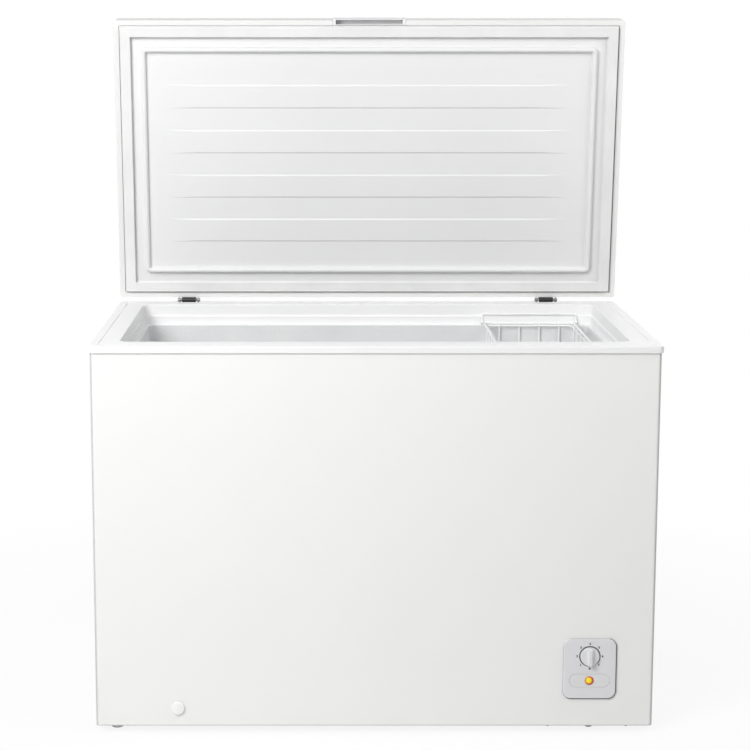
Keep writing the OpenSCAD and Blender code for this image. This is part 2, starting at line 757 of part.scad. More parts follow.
module control_panel() color("gainsboro") place() difference() {
    union() {
        panel_prism(0, -panel_t, 0);
        panel_prism(boss_in, 0, sheet_t + boss_t);
    }
    translate([panel_x, -panel_t, panel_z]) rotate([90, 0, 0])
        frame_sweep(panel_w, panel_h, panel_r) edge_cut(panel_edge_r);
    translate([panel_x, 0, lamp_z]) rotate([90, 0, 0]) {
        translate([0, 0, panel_t - 0.8]) linear_extrude(2) round_rect(window_w, window_h, window_h / 2 - 0.1);
        translate([0, 0, -20]) cylinder(r = lens_r + gap, h = 40);
    }
    translate([panel_x, 1 - panel_t, knob_z]) rotate([90, 0, 0]) difference() {
        cylinder(r = knob_r + 1.8, h = 5);
        translate([0, 0, -1]) cylinder(r = knob_r - 1, h = 7);
    }
    bar_y([panel_x, -panel_t - 1, knob_z], 30, shaft_r + 0.8);
}

module lamp_window() color("whitesmoke") place() translate([panel_x, 0, lamp_z]) rotate([90, 0, 0])
    difference() {
        translate([0, 0, panel_t - 0.8]) linear_extrude(1.2)
            round_rect(window_w - 2 * gap, window_h - 2 * gap, window_h / 2 - 0.1 - gap);
        cylinder(r = lens_r + gap, h = 10);
    }

module indicator_lens() color("orangered") place() translate([panel_x, 0, lamp_z]) rotate([90, 0, 0])
    rotate_extrude() {
        translate([0, -boss_t - sheet_t]) square([lens_r, panel_t + boss_t + sheet_t + 0.6]);
        translate([0, panel_t + 0.6]) intersection() {
            translate([0, -(lens_r * lens_r - 9) / 6]) circle((lens_r * lens_r + 9) / 6);
            square([lens_r, 4]);
        }
    }

module lamp_holder() color("#333333") place()
    translate([panel_x, sheet_t + boss_t, lamp_z]) rotate([-90, 0, 0]) {
        cylinder(r = lens_r + 2, h = 14);
        for (x = [-3, 3]) translate([x - 1.5, -0.4, 14]) cube([3, 0.8, 8]);
    }

module thermostat() color("#d8d8d0") place()
    translate([panel_x, sheet_t + boss_t, knob_z]) rotate([-90, 0, 0]) {
        difference() {
            union() {
                slab(44, 34, 3, 0, 3);
                slab(38, 34, 3, 2, 26);
            }
            translate([0, 0, -1]) cylinder(r = shaft_r + pin_clear, h = 13);
        }
        for (x = [-10, 0, 10]) translate([x - 2, -0.4, 26]) cube([4, 0.8, 9]);
    }

module thermostat_shaft() color("silver") place()
    bar_y([panel_x, -panel_t - knob_t + 4, knob_z], panel_t + knob_t - 4 + sheet_t + boss_t + 9, shaft_r);

module thermostat_knob() color("gainsboro") place()
    translate([panel_x, -panel_t - gap, knob_z]) rotate([90, 0, 0]) difference() {
        union() {
            cylinder(r = knob_r, h = 3);
            translate([0, 0, 3]) cylinder(r1 = knob_r - 0.6, r2 = knob_r - 1.8, h = 2);
            // grip, waisted along its length
            intersection() {
                cylinder(r1 = knob_r - 0.6, r2 = knob_r - 2.4, h = knob_t);
                difference() {
                    translate([-7, -knob_r, 4]) cube([14, 2 * knob_r, knob_t - 4]);
                    for (x = [-1, 1]) bar_y([x * 10.5, -knob_r - 1, knob_t + 1], 2 * knob_r + 2, 7.5);
                }
            }
        }
        translate([0, 0, -1]) cylinder(r = shaft_r, h = knob_t - 4 - gap + 1);
    }

// ---- drain ----

module drain_run(r) {
    bar_z([-drain_x, drain_y, drain_z], tub_z - liner_t - drain_z, r);
    bar_y([-drain_x, 0, drain_z], drain_y, r);
    translate([-drain_x, drain_y, drain_z]) sphere(r);
}

module drain_pipe() color("white") place() difference() {
    drain_run(drain_r);
    bar_z([-drain_x, drain_y, drain_z], tub_z, drain_r - drain_wall);
    bar_y([-drain_x, -1, drain_z], drain_y + 1, drain_r - drain_wall);
    translate([-drain_x, drain_y, drain_z]) sphere(drain_r - drain_wall);
}

module drain_cap() color("white") place() translate([-drain_x, -gap, drain_z]) rotate([90, 0, 0])
    difference() {
        rotate_extrude() {
            square([cap_r, 3]);
            translate([0, 2]) square([cap_r - 2, 3]);
            intersection() {
                translate([cap_r - 2, 3]) circle(2);
                square([cap_r, 6]);
            }
            translate([0, -16]) square([drain_r - drain_wall - gap, 17]);
        }
        translate([0, 0, -17]) cylinder(r = drain_r - drain_wall - 2, h = 14);
    }

module tub_plug() color("white") place() translate([-drain_x, drain_y, tub_z + gap]) rotate_extrude() {
    square([drain_r + 5, 2.5]);
    translate([0, 2]) square([4, 12]);
    translate([0, 14]) intersection() {
        circle(7);
        translate([0, -5]) square([7, 12]);
    }
    translate([0, -12]) square([drain_r - drain_wall - gap, 13]);
}

// ---- feet and fasteners ----

module left_feet() color("lightgray") place() for (y = foot_rows)
    translate([-left_foot_x, y, 0]) rotate_extrude() difference() {
        polygon([[0, 0], [left_foot_r - 2, 0], [left_foot_r - 0.6, 1.4], [left_foot_r, pan_z - 4],
                 [left_foot_r + 1.5, pan_z - 3], [left_foot_r + 1.5, pan_z], [0, pan_z]]);
        translate([0, -1]) square([3, 5]);
    }

module right_feet() color("#2b2b2b") place() for (y = foot_rows)
    translate([right_foot_x, y, 0]) rotate_extrude() {
        translate([0, pan_z - 3]) square([right_foot_r, 3]);
        polygon([[0, 0], [7, 0], [9.5, 2], [11, 6], [12, pan_z - 3], [12, pan_z - 2], [0, pan_z - 2]]);
        translate([0, pan_z - 1]) square([3, 9]);
    }

module base_screws() color("#1a1a1a") place() for (x = base_screw_x) translate([x, fold_w / 2, foot_h])
    rotate([180, 0, 0]) screw(7);

module cover_screws() color("silver") place() for (p = cover_screw_at)
    translate([p[0], cabinet_d + sheet_t, p[1]]) rotate([-90, 0, 0]) screw(7);

// ---- hinges ----

bracket_screw_z = [cabinet_h - 22, cabinet_h - bracket_h + 14];
leaf_screw_z = [axis_z + 21, axis_z + leaf_h - 6];
ear_r = norm([axis_y - lid_rear, lid_z - axis_z]) - 2 * gap;

module hinge_screw_holes() {
    for (x = [-hinge_x, hinge_x], z = bracket_screw_z, side = [-1, 1])
        bar_y([x + side * 12, cabinet_d - 12, z], 20, screw_r + gap);
}

// Cabinet side of a hinge: a plate down the back and two ears round the pin
module hinge_bracket(x) color("silver") place() translate([x, 0, 0]) difference() {
    union() {
        block([-hinge_w / 2, cabinet_d, cabinet_h - bracket_h],
              [hinge_w / 2, cabinet_d + hinge_t, cabinet_h + 4]);
        for (side = [-1, 1]) translate([side * (hinge_w - hinge_t) / 2 - hinge_t / 2, 0, 0])
            rotate([90, 0, 90]) linear_extrude(hinge_t) {
                polygon([[axis_y - ear_r, cabinet_h + gap], [cabinet_d + hinge_t, cabinet_h + gap],
                         [cabinet_d + hinge_t, cabinet_h + 8],
                         [axis_y + ear_r, axis_z], [axis_y - ear_r, axis_z]]);
                translate([axis_y, axis_z]) circle(ear_r);
                translate([cabinet_d, cabinet_h - bracket_h + 20]) square([8, bracket_h - 26]);
            }
    }
    bar_x([-hinge_w, axis_y, axis_z], 2 * hinge_w, pin_r + pin_clear);
    translate([-x, 0, 0]) hinge_screw_holes();
}

// Lid side of a hinge: a knuckle round the pin and a plate up the lid's rear edge
module hinge_leaf(x) color("#141414") place_lid() translate([x, 0, 0]) difference() {
    union() {
        bar_x([-knuckle_w / 2, axis_y, axis_z], knuckle_w, knuckle_r);
        block([-knuckle_w / 2, lid_rear, lid_z],
              [knuckle_w / 2, lid_rear + hinge_t, axis_z + leaf_h]);
        translate([-knuckle_w / 2, 0, 0]) rotate([90, 0, 90]) linear_extrude(knuckle_w)
            polygon([[lid_rear, lid_z], [axis_y - 4, axis_z + 4], [axis_y, axis_z],
                     [axis_y + 4, axis_z + 4.4], [lid_rear + hinge_t, axis_z + 16],
                     [lid_rear, axis_z + 16]]);
    }
    bar_x([-knuckle_w, axis_y, axis_z], 2 * knuckle_w, pin_r + pin_clear);
    leaf_screw_holes(-x);
}

module leaf_screw_holes(shift) {
    translate([shift, 0, 0]) for (x = [-hinge_x, hinge_x], z = leaf_screw_z, side = [-1, 1])
        bar_y([x + side * 9, lid_rear - 8, z], 14, screw_r + gap);
}

module hinge_pin(x) color("silver") place() {
    bar_x([x - hinge_w / 2 - 0.5, axis_y, axis_z], hinge_w + 1, pin_r);
    for (end = [x - hinge_w / 2 - 2.3, x + hinge_w / 2 + gap])
        bar_x([end, axis_y, axis_z], 2, axis_z - rim_z - gap);
}

// Round wire swept along points, with a ring of sides square to the path at each one
module wire(path, r) {
    sides = 8;
    last = len(path) - 1;
    rings = [for (i = [0 : last])
        let (ahead = path[min(i + 1, last)] - path[max(i - 1, 0)],
             run = ahead / norm(ahead),
             across = cross(run, abs(run[0]) < 0.9 ? [1, 0, 0] : [0, 1, 0]),
             u = across / norm(across),
             v = cross(run, u))
        for (k = [0 : sides - 1]) path[i] + r * (cos(k * 360 / sides) * u + sin(k * 360 / sides) * v)];
    walls = [for (i = [0 : last - 1], k = [0 : sides - 1])
        [i * sides + k, i * sides + (k + 1) % sides, (i + 1) * sides + (k + 1) % sides, (i + 1) * sides + k]];
    polyhedron(rings, concat([[for (k = [sides - 1 : -1 : 0]) k]], walls,
                             [[for (k = [0 : sides - 1]) last * sides + k]]), convexity = 6);
}

// Torsion springs round the pin, between the knuckle and each ear
module hinge_springs() color("darkgray") place() {
    turns = 1.75;
    pitch = ((hinge_w - knuckle_w) / 2 - hinge_t - 2 * gap - 2 * spring_wire_r) / turns;
    ring_r = pin_r + spring_wire_r + gap;
    steps = 14;
    for (x = [-hinge_x, hinge_x], side = [-1, 1]) {
        start = x + side * (knuckle_w / 2 + gap + spring_wire_r);
        coil_path = [for (i = [0 : turns * steps])
            [start + side * pitch * i / steps, axis_y - ring_r * cos(i * 360 / steps),
             axis_z + ring_r * sin(i * 360 / steps)]];
        foot = [start + side * pitch * turns, axis_y, cabinet_h + spring_wire_r + 1];
        wire(concat(coil_path, [foot + [0, ring_r, 3], foot + [0, ring_r, 0]]), spring_wire_r);
    }
}

module bracket_screws() color("silver") place()
    for (x = [-hinge_x, hinge_x], z = bracket_screw_z, side = [-1, 1])
        translate([x + side * 12, cabinet_d + hinge_t, z]) rotate([-90, 0, 0]) screw(hinge_t + 9);

module leaf_screws() color("silver") place_lid()
    for (x = [-hinge_x, hinge_x], z = leaf_screw_z, side = [-1, 1])
        translate([x + side * 9, lid_rear + hinge_t, z]) rotate([-90, 0, 0]) screw(hinge_t + 6);

// ---- lid, drawn shut and then turned open ----

module lid_slab(inset, r, z0, z1) {
    translate([0, lid_y, 0]) slab(lid_w - 2 * inset, lid_d - 2 * inset, r, z0, z1);
}

module handle_space(grow) {
    block([-handle_w / 2 - grow, -rim_over - handle_out - 1, lid_z - 1],
          [handle_w / 2 + grow, strip_w - rim_over + grow, lid_z + handle_h + grow]);
}

// Lid's outer form with its round top edge, inset from the outer faces
module lid_body(inset, z0) {
    top = lid_z + lid_t - inset;
    difference() {
        lid_slab(inset, lid_r - inset, z0, top);
        translate([0, lid_y, top]) frame_sweep(lid_w - 2 * inset, lid_d - 2 * inset, lid_r - inset)
            edge_cut(lid_edge_r - inset);
    }
}

module lid_skin() color("white") place_lid() difference() {
    lid_body(0, lid_z);
    lid_body(sheet_t, lid_z + sheet_t);
    lid_slab(strip_w, form_r, lid_z - 1, lid_z + sheet_t + 1);
    handle_space(0);
    leaf_screw_holes(0);
}

// Inner lid's form: everything above its visible face, raised and shrunk by a wall thickness
module inner_form(t) {
    bead_out = lid_w - 2 * plug_in;
    bead_deep = lid_d - 2 * plug_in;
    half = bead_w / 2 - t;
    slot_out = seal_mid - 2 - t;
    slot_in = seal_mid + 2 + t;
    translate([0, lid_y, 0]) {
        difference() {
            slab(lid_w - 2 * strip_w - 2 * gap, lid_d - 2 * strip_w - 2 * gap, 3, inner_z + t, inner_top);
            // slot for the seal's barb
            difference() {
                slab(lid_w - 2 * slot_out, lid_d - 2 * slot_out, form_r + t, lid_z, slot_top + t);
                slab(lid_w - 2 * slot_in, lid_d - 2 * slot_in, 3, lid_z - 1, slot_top + t + 1);
            }
        }
        translate([0, 0, bead_z]) frame_sweep(bead_out, bead_deep, bead_r) {
            translate([-bead_w / 2 - half, 0]) square([2 * half, inner_z - bead_z + t + 1]);
            translate([-bead_w / 2, 0]) intersection() {
                circle(half);
                translate([-half, -half]) square([2 * half, half + 1]);
            }
        }
        // band that falls from the seal to the bead, and the field inside the bead
        translate([0, 0, inner_z + t]) mitred_frame(bead_out, bead_deep)
            polygon([[-1, -field_drop], [0, -field_drop], [band_w, 0], [band_w, 1], [-1, 1]]);
        slab(bead_out, bead_deep, 1, field_z + t, inner_z + t + 1);
        // raised bands that die away at their ends
        for (i = [0 : rib_count - 1])
            translate([0, (i - (rib_count - 1) / 2) * rib_pitch + rib_back, field_z + t]) intersection() {
                rotate([90, 0, 90]) linear_extrude(2 * rib_reach + 2, center = true)
                    polygon([[rib_flat, -rib_h], [rib_w / 2, 1], [-rib_w / 2, 1], [-rib_flat, -rib_h]]);
                rotate([90, 0, 0]) linear_extrude(rib_w + 2, center = true)
                    polygon([[rib_reach, 1], [rib_reach, 0], [rib_reach - 1.2 * rib_fade, -1.2 * rib_h],
                             [1.2 * rib_fade - rib_reach, -1.2 * rib_h], [-rib_reach, 0], [-rib_reach, 1]]);
            }
    }
}
bead_z = lid_z - bead_h + bead_w / 2;
form_r = 1.5;
inner_z = lid_z + 3;
field_z = inner_z - field_drop;
inner_top = inner_z + 14;
slot_top = inner_z + 8;
seal_mid = strip_w + seal_w / 2;
rib_flat = rib_w / 2 - rib_slope;
rib_reach = lid_w / 2 - plug_in - bead_w - rib_end;

module lid_inner() color("whitesmoke") place_lid() difference() {
    inner_form(0);
    inner_form(inner_t);
    translate([0, lid_y, 0]) slab(lid_w, lid_d, 3, inner_top - 1, lid_z + lid_t);
    handle_space(gap);
}

module lid_foam() color("wheat") place_lid() difference() {
    union() {
        inner_form(inner_t);
        lid_body(sheet_t, inner_top - 1);
    }
    handle_space(gap);
    leaf_screw_holes(0);
}

// One mitred side of a frame of width w and depth d: the profile's x is outwards
module mitred_frame(w, d) {
    for (side = [[0, w, d], [90, d, w], [180, w, d], [270, d, w]]) rotate(side[0]) intersection() {
        translate([side[1] / 2, 0, 0]) rotate([90, 0, 0])
            linear_extrude(side[2] + 60, center = true) children();
        linear_extrude(2 * (lid_z + lid_t), center = true)
            polygon([[side[1] / 2 - side[2] / 2, 0], [side[1] / 2 + 40, side[2] / 2 + 40],
                     [side[1] / 2 + 40, -side[2] / 2 - 40]]);
    }
}

// Seal section: foot with a barb, folded wall and magnet pocket
module seal_section() {
    base = inner_z;
    difference() {
        union() {
            translate([-seal_w / 2 + 0.5, base - 2.2]) square([seal_w - 1, 2.2]);
            translate([-seal_w / 2 + 1, seal_z]) square([seal_w - 4, 3.4]);
            translate([-seal_w / 2 + 1, seal_z + 1.7]) circle(1.7, $fn = 24);
            translate([seal_w / 2 - 3, seal_z + 1.7]) circle(1.7, $fn = 24);
            for (x = [-0.36, -0.02, 0.3]) translate([x * seal_w, seal_z + 2])
                square([1.6, base - seal_z - 3]);
            translate([-1.2, base - 1]) square([2.4, 8]);
            translate([-1.5, base + 3]) square([3, 1.4]);
        }
        translate([1.4, seal_z + 0.8]) square([6.6, 1.9]);
    }
}

module lid_seal() color("gainsboro") place_lid() translate([0, lid_y, 0])
    mitred_frame(lid_w - 2 * seal_mid, lid_d - 2 * seal_mid) seal_section();

module seal_magnets() color("#3a3029") place_lid() translate([0, lid_y, 0])
    for (side = [[0, lid_w, lid_d], [90, lid_d, lid_w], [180, lid_w, lid_d], [270, lid_d, lid_w]])
        rotate(side[0])
            translate([side[1] / 2 - seal_mid + 1.6, seal_w - side[2] / 2 + seal_mid, seal_z + 0.9])
            cube([6.2, side[2] - 2 * seal_mid - 2 * seal_w, 1.7]);

module lid_handle() color("gainsboro") place_lid() difference() {
    union() {
        block([-handle_w / 2 + gap, -rim_over - handle_out, lid_z],
              [handle_w / 2 - gap, strip_w - rim_over - gap, lid_z + handle_h - gap]);
    }
    block([-slot_w / 2, slot_wall - rim_over - handle_out, lid_z - 1],
          [slot_w / 2, strip_w - rim_over - gap - slot_wall, lid_z + slot_deep]);
    translate([0, -rim_over - handle_out, lid_z + handle_h - gap]) rotate([90, 0, 90])
        linear_extrude(handle_w + 2, center = true) mirror([1, 0]) edge_cut(3);
    translate([0, -rim_over - handle_out, lid_z]) rotate([90, 0, 90])
        linear_extrude(handle_w + 2, center = true) mirror([1, 0]) mirror([0, 1]) edge_cut(1.5);
}

// ---- basket ----

// Wire that drops, runs flat and rises again, across a width w and down a depth h
module drop_wire(w, h, r, bend) {
    bar_x([bend - w / 2, 0, -h], w - 2 * bend, r);
    for (side = [-1, 1]) {
        bar_z([side * w / 2, 0, bend - h], h - bend, r);
        translate([side * (w / 2 - bend), 0, bend - h]) rotate([90, side > 0 ? 90 : 180, 0])
            rotate_extrude(angle = 90) translate([bend, 0]) circle(r);
    }
}

module basket() color("white") place() translate([basket_x, mid_y, frame_z]) {
    side_x = basket_w / 2 - frame_wire_r;
    weld = 0.35;
    // frame that lies on the ledge
    frame_sweep(2 * side_x, low_d - 10, 14) circle(frame_wire_r);
    // wires across, hung inside the frame's sides
    inner_x = side_x - frame_wire_r - mesh_wire_r + weld;
    for (i = [0 : cross_wires - 1])
        translate([0, (i - (cross_wires - 1) / 2) * (body_d - 50) / (cross_wires - 1), 0])
            drop_wire(2 * inner_x, basket_h, mesh_wire_r, 16);
    // wires along, inside the wires across, up to a ring under the ends of the frame
    inner_h = basket_h - 2 * mesh_wire_r + weld;
    for (i = [0 : long_wires - 1])
        translate([(i - (long_wires - 1) / 2) * (2 * inner_x - 60) / (long_wires - 1), 0, 0]) rotate(90)
            drop_wire(body_d - 2 * mesh_wire_r, inner_h, mesh_wire_r, 16);
    ring_x = 2 * (inner_x - 2 * mesh_wire_r + weld);
    ring_y = body_d - 4 * mesh_wire_r + 2 * weld - 2 * mesh_wire_r;
    for (z = [-4, -basket_h / 2]) translate([0, 0, z])
        frame_sweep(ring_x, ring_y + 0.01, 12) circle(mesh_wire_r);
    // pivots of the handles, fused to the frame's corners
    pivot_in = side_x - 12;
    for (x = [-1, 1], y = [-1, 1])
        bar_x([x > 0 ? pivot_in : -bail_x - eye_t / 2 - 1, y * bail_y, pivot_z - frame_z],
              bail_x + eye_t / 2 + 1 - pivot_in, pivot_r);
}

// Swinging handle leaning on the throat, at the front (end -1) or the rear (end 1)
module basket_handle(end) {
    place() translate([basket_x, mid_y + end * bail_y, pivot_z]) rotate([-end * lean, 0, 0]) {
        bar_x([-bail_x, 0, bail_leg], 2 * bail_x, mesh_wire_r);
        for (x = [-1, 1]) {
            translate([x * bail_x, 0, bail_leg]) sphere(mesh_wire_r);
            bar_z([x * bail_x, 0, eye_r - 0.8], bail_leg - eye_r + 0.8, mesh_wire_r);
            difference() {
                bar_x([x * bail_x - eye_t / 2, 0, 0], eye_t, eye_r);
                bar_x([x * bail_x - eye_t, 0, 0], 2 * eye_t, pivot_r + pin_clear);
            }
        }
    }
}
module basket_handle_front() { color("white") basket_handle(-1); }
module basket_handle_rear() { color("white") basket_handle(1); }

outer_wrapper();
back_panel();
bottom_pan();
body_foam();
inner_liner();
top_frame();
evaporator_coil();
condenser_coil();
machine_base();
compressor();
compressor_mounts();
compressor_nuts();
starter_relay();
suction_pipe();
discharge_pipe();
charging_pipe();
filter_drier();
capillary_tube();
side_grille();
rear_cover();
cord_inlet();
thermostat();
control_panel();
lamp_window();
indicator_lens();
lamp_holder();
drain_pipe();
left_feet();
right_feet();
base_screws();
cover_screws();
hinge_bracket(-hinge_x);  // hinge_bracket_left
hinge_bracket(hinge_x);  // hinge_bracket_right
hinge_pin(-hinge_x);  // hinge_pin_left
hinge_pin(hinge_x);  // hinge_pin_right
hinge_springs();
bracket_screws();
lid_skin();
lid_foam();
lid_inner();
lid_seal();
seal_magnets();
lid_handle();
hinge_leaf(-hinge_x);  // hinge_leaf_left
hinge_leaf(hinge_x);  // hinge_leaf_right
leaf_screws();
thermostat_knob();
thermostat_shaft();
drain_cap();
tub_plug();
basket();
basket_handle_front();
basket_handle_rear();
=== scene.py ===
import json
from math import cos, pi, radians, sin

import bmesh
import bpy
from mathutils import Matrix, Vector

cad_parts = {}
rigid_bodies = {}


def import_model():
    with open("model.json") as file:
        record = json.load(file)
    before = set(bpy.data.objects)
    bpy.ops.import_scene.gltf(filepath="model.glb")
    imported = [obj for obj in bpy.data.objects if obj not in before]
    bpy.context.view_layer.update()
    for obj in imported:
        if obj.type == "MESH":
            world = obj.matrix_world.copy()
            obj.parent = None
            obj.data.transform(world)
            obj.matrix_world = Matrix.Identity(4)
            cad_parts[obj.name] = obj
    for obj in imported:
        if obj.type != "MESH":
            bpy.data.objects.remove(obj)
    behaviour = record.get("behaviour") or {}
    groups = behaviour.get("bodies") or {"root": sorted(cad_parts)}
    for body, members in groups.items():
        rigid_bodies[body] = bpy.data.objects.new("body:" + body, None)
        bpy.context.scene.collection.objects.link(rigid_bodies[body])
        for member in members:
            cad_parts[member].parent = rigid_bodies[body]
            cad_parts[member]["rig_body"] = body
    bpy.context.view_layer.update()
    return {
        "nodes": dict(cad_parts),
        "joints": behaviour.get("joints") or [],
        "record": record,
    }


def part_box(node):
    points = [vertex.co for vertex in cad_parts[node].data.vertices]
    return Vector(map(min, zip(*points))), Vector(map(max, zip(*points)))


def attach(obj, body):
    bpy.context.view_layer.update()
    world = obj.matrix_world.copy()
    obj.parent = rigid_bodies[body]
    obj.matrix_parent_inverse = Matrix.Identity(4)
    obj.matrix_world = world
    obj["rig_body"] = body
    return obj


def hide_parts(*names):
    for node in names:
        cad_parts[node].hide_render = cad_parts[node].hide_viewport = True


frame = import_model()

mm = 0.001
scene = bpy.context.scene
scene.view_settings.view_transform = "Standard"
slotOf = {part["node"]: part["material_slot"] for part in frame["record"]["subparts"]}
bodyOf = {node: obj["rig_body"] for node, obj in frame["nodes"].items()}
print("frame loaded:", len(frame["nodes"]), "nodes")


# camera, lamps and floor

def placeCamera():
    view = {"place": (-0.113, -3.8856, 1.3638), "down": 8.637, "lens": 89.36,
            "shift": (0.0767, -0.0667), "sensor": 36, "far": 100}
    data = bpy.data.cameras.new("productCamera")
    data.sensor_width = view["sensor"]
    data.lens = view["lens"]
    data.shift_x, data.shift_y = view["shift"]
    data.clip_end = view["far"]
    camera = bpy.data.objects.new("productCamera", data)
    camera.location = view["place"]
    camera.rotation_euler = (pi / 2 - radians(view["down"]), 0, 0)
    scene.collection.objects.link(camera)
    scene.camera = camera


def softBox(name, place, aim, size, power):
    data = bpy.data.lights.new(name, "AREA")
    data.shape = "SQUARE"
    data.size = size
    data.energy = power
    lamp = bpy.data.objects.new(name, data)
    lamp.location = place
    lamp.rotation_euler = (Vector(aim) - Vector(place)).to_track_quat("-Z", "Y").to_euler()
    scene.collection.objects.link(lamp)


def seenDirectly(tree):
    # 1 for camera, mirror and see-through rays, 0 for the rays that light a surface
    path = tree.nodes.new("ShaderNodeLightPath")
    seen = path.outputs["Is Camera Ray"]
    for kind in ("Is Glossy Ray", "Is Transmission Ray"):
        either = tree.nodes.new("ShaderNodeMath")
        either.operation = "MAXIMUM"
        tree.links.new(seen, either.inputs[0])
        tree.links.new(path.outputs[kind], either.inputs[1])
        seen = either.outputs[0]
    return seen


def lightRoom():
    ambient = 0.21
    # place, aim, side of the square and power
    lamps = {
        "keyLamp": ((-1.7, -2.6, 2.7), (0, -0.1, 0.8), 1.6, 86),
        "nearLamp": ((-1.3, -1.9, 1.7), (-0.1, -0.2, 0.7), 1.0, 12),
        "lidLamp": ((1.6, -0.9, 2.3), (0, 0.3, 1.1), 1.2, 17),
        "rearLampLeft": ((-2.1, 2.4, 1.8), (0, 0.2, 0.6), 1.6, 22),
        "rearLampRight": ((2.1, 2.4, 1.8), (0, 0.2, 0.6), 1.6, 22),
    }
    world = bpy.data.worlds.new("studio")
    world.use_nodes = True
    scene.world = world
    tree = world.node_tree
    soft = tree.nodes["Background"]
    soft.inputs["Strength"].default_value = ambient
    soft.inputs["Color"].default_value = (1, 1, 1, 1)
    white = tree.nodes.new("ShaderNodeBackground")
    white.inputs["Color"].default_value = (1, 1, 1, 1)
    mix = tree.nodes.new("ShaderNodeMixShader")
    tree.links.new(seenDirectly(tree), mix.inputs[0])
    tree.links.new(soft.outputs[0], mix.inputs[1])
    tree.links.new(white.outputs[0], mix.inputs[2])
    tree.links.new(mix.outputs[0], tree.nodes["World Output"].inputs[0])
    for name, lamp in lamps.items():
        softBox(name, *lamp)


def layFloor():
    # pale floor that keeps a soft shadow near the object and runs out to plain white
    ground = {"half": 40, "colour": (0.85, 0.85, 0.85, 1), "rough": 0.9, "fadeFrom": 0.5,
              "fadeTo": 1.7, "shown": 0.86}
    bm = bmesh.new()
    bmesh.ops.create_grid(bm, x_segments=2, y_segments=2, size=ground["half"])
    mesh = bpy.data.meshes.new("floor")
    bm.to_mesh(mesh)
    bm.free()
    floor = bpy.data.objects.new("floor", mesh)
    scene.collection.objects.link(floor)
    mat = bpy.data.materials.new("paleFloor")
    mat.use_nodes = True
    tree = mat.node_tree
    shader = tree.nodes["Principled BSDF"]
    shader.inputs["Base Color"].default_value = ground["colour"]
    shader.inputs["Roughness"].default_value = ground["rough"]
    glow = tree.nodes.new("ShaderNodeEmission")
    place = tree.nodes.new("ShaderNodeTexCoord")
    far = tree.nodes.new("ShaderNodeVectorMath")
    far.operation = "LENGTH"
    spread = tree.nodes.new("ShaderNodeMapRange")
    spread.inputs["From Min"].default_value = ground["fadeFrom"]
    spread.inputs["From Max"].default_value = ground["fadeTo"]
    spread.inputs["To Min"].default_value = ground["shown"]
    spread.inputs["To Max"].default_value = 1
    seen = tree.nodes.new("ShaderNodeMath")
    seen.operation = "MULTIPLY"
    mix = tree.nodes.new("ShaderNodeMixShader")
    tree.links.new(place.outputs["Object"], far.inputs[0])
    tree.links.new(far.outputs["Value"], spread.inputs["Value"])
    tree.links.new(spread.outputs[0], seen.inputs[0])
    tree.links.new(seenDirectly(tree), seen.inputs[1])
    tree.links.new(seen.outputs[0], mix.inputs[0])
    tree.links.new(shader.outputs[0], mix.inputs[1])
    tree.links.new(glow.outputs[0], mix.inputs[2])
    tree.links.new(mix.outputs[0], tree.nodes["Material Output"].inputs[0])
    mesh.materials.append(mat)


placeCamera()
lightRoom()
layFloor()
print("camera, lamps and floor placed")


# finishes: every pattern reads Object coordinates, in metres

def tone(red, green, blue):
    # colour written as the eye sees it, turned into the shader's linear values
    return tuple(c / 12.92 if c < 0.04045 else ((c + 0.055) / 1.055) ** 2.4
                 for c in (red, green, blue))


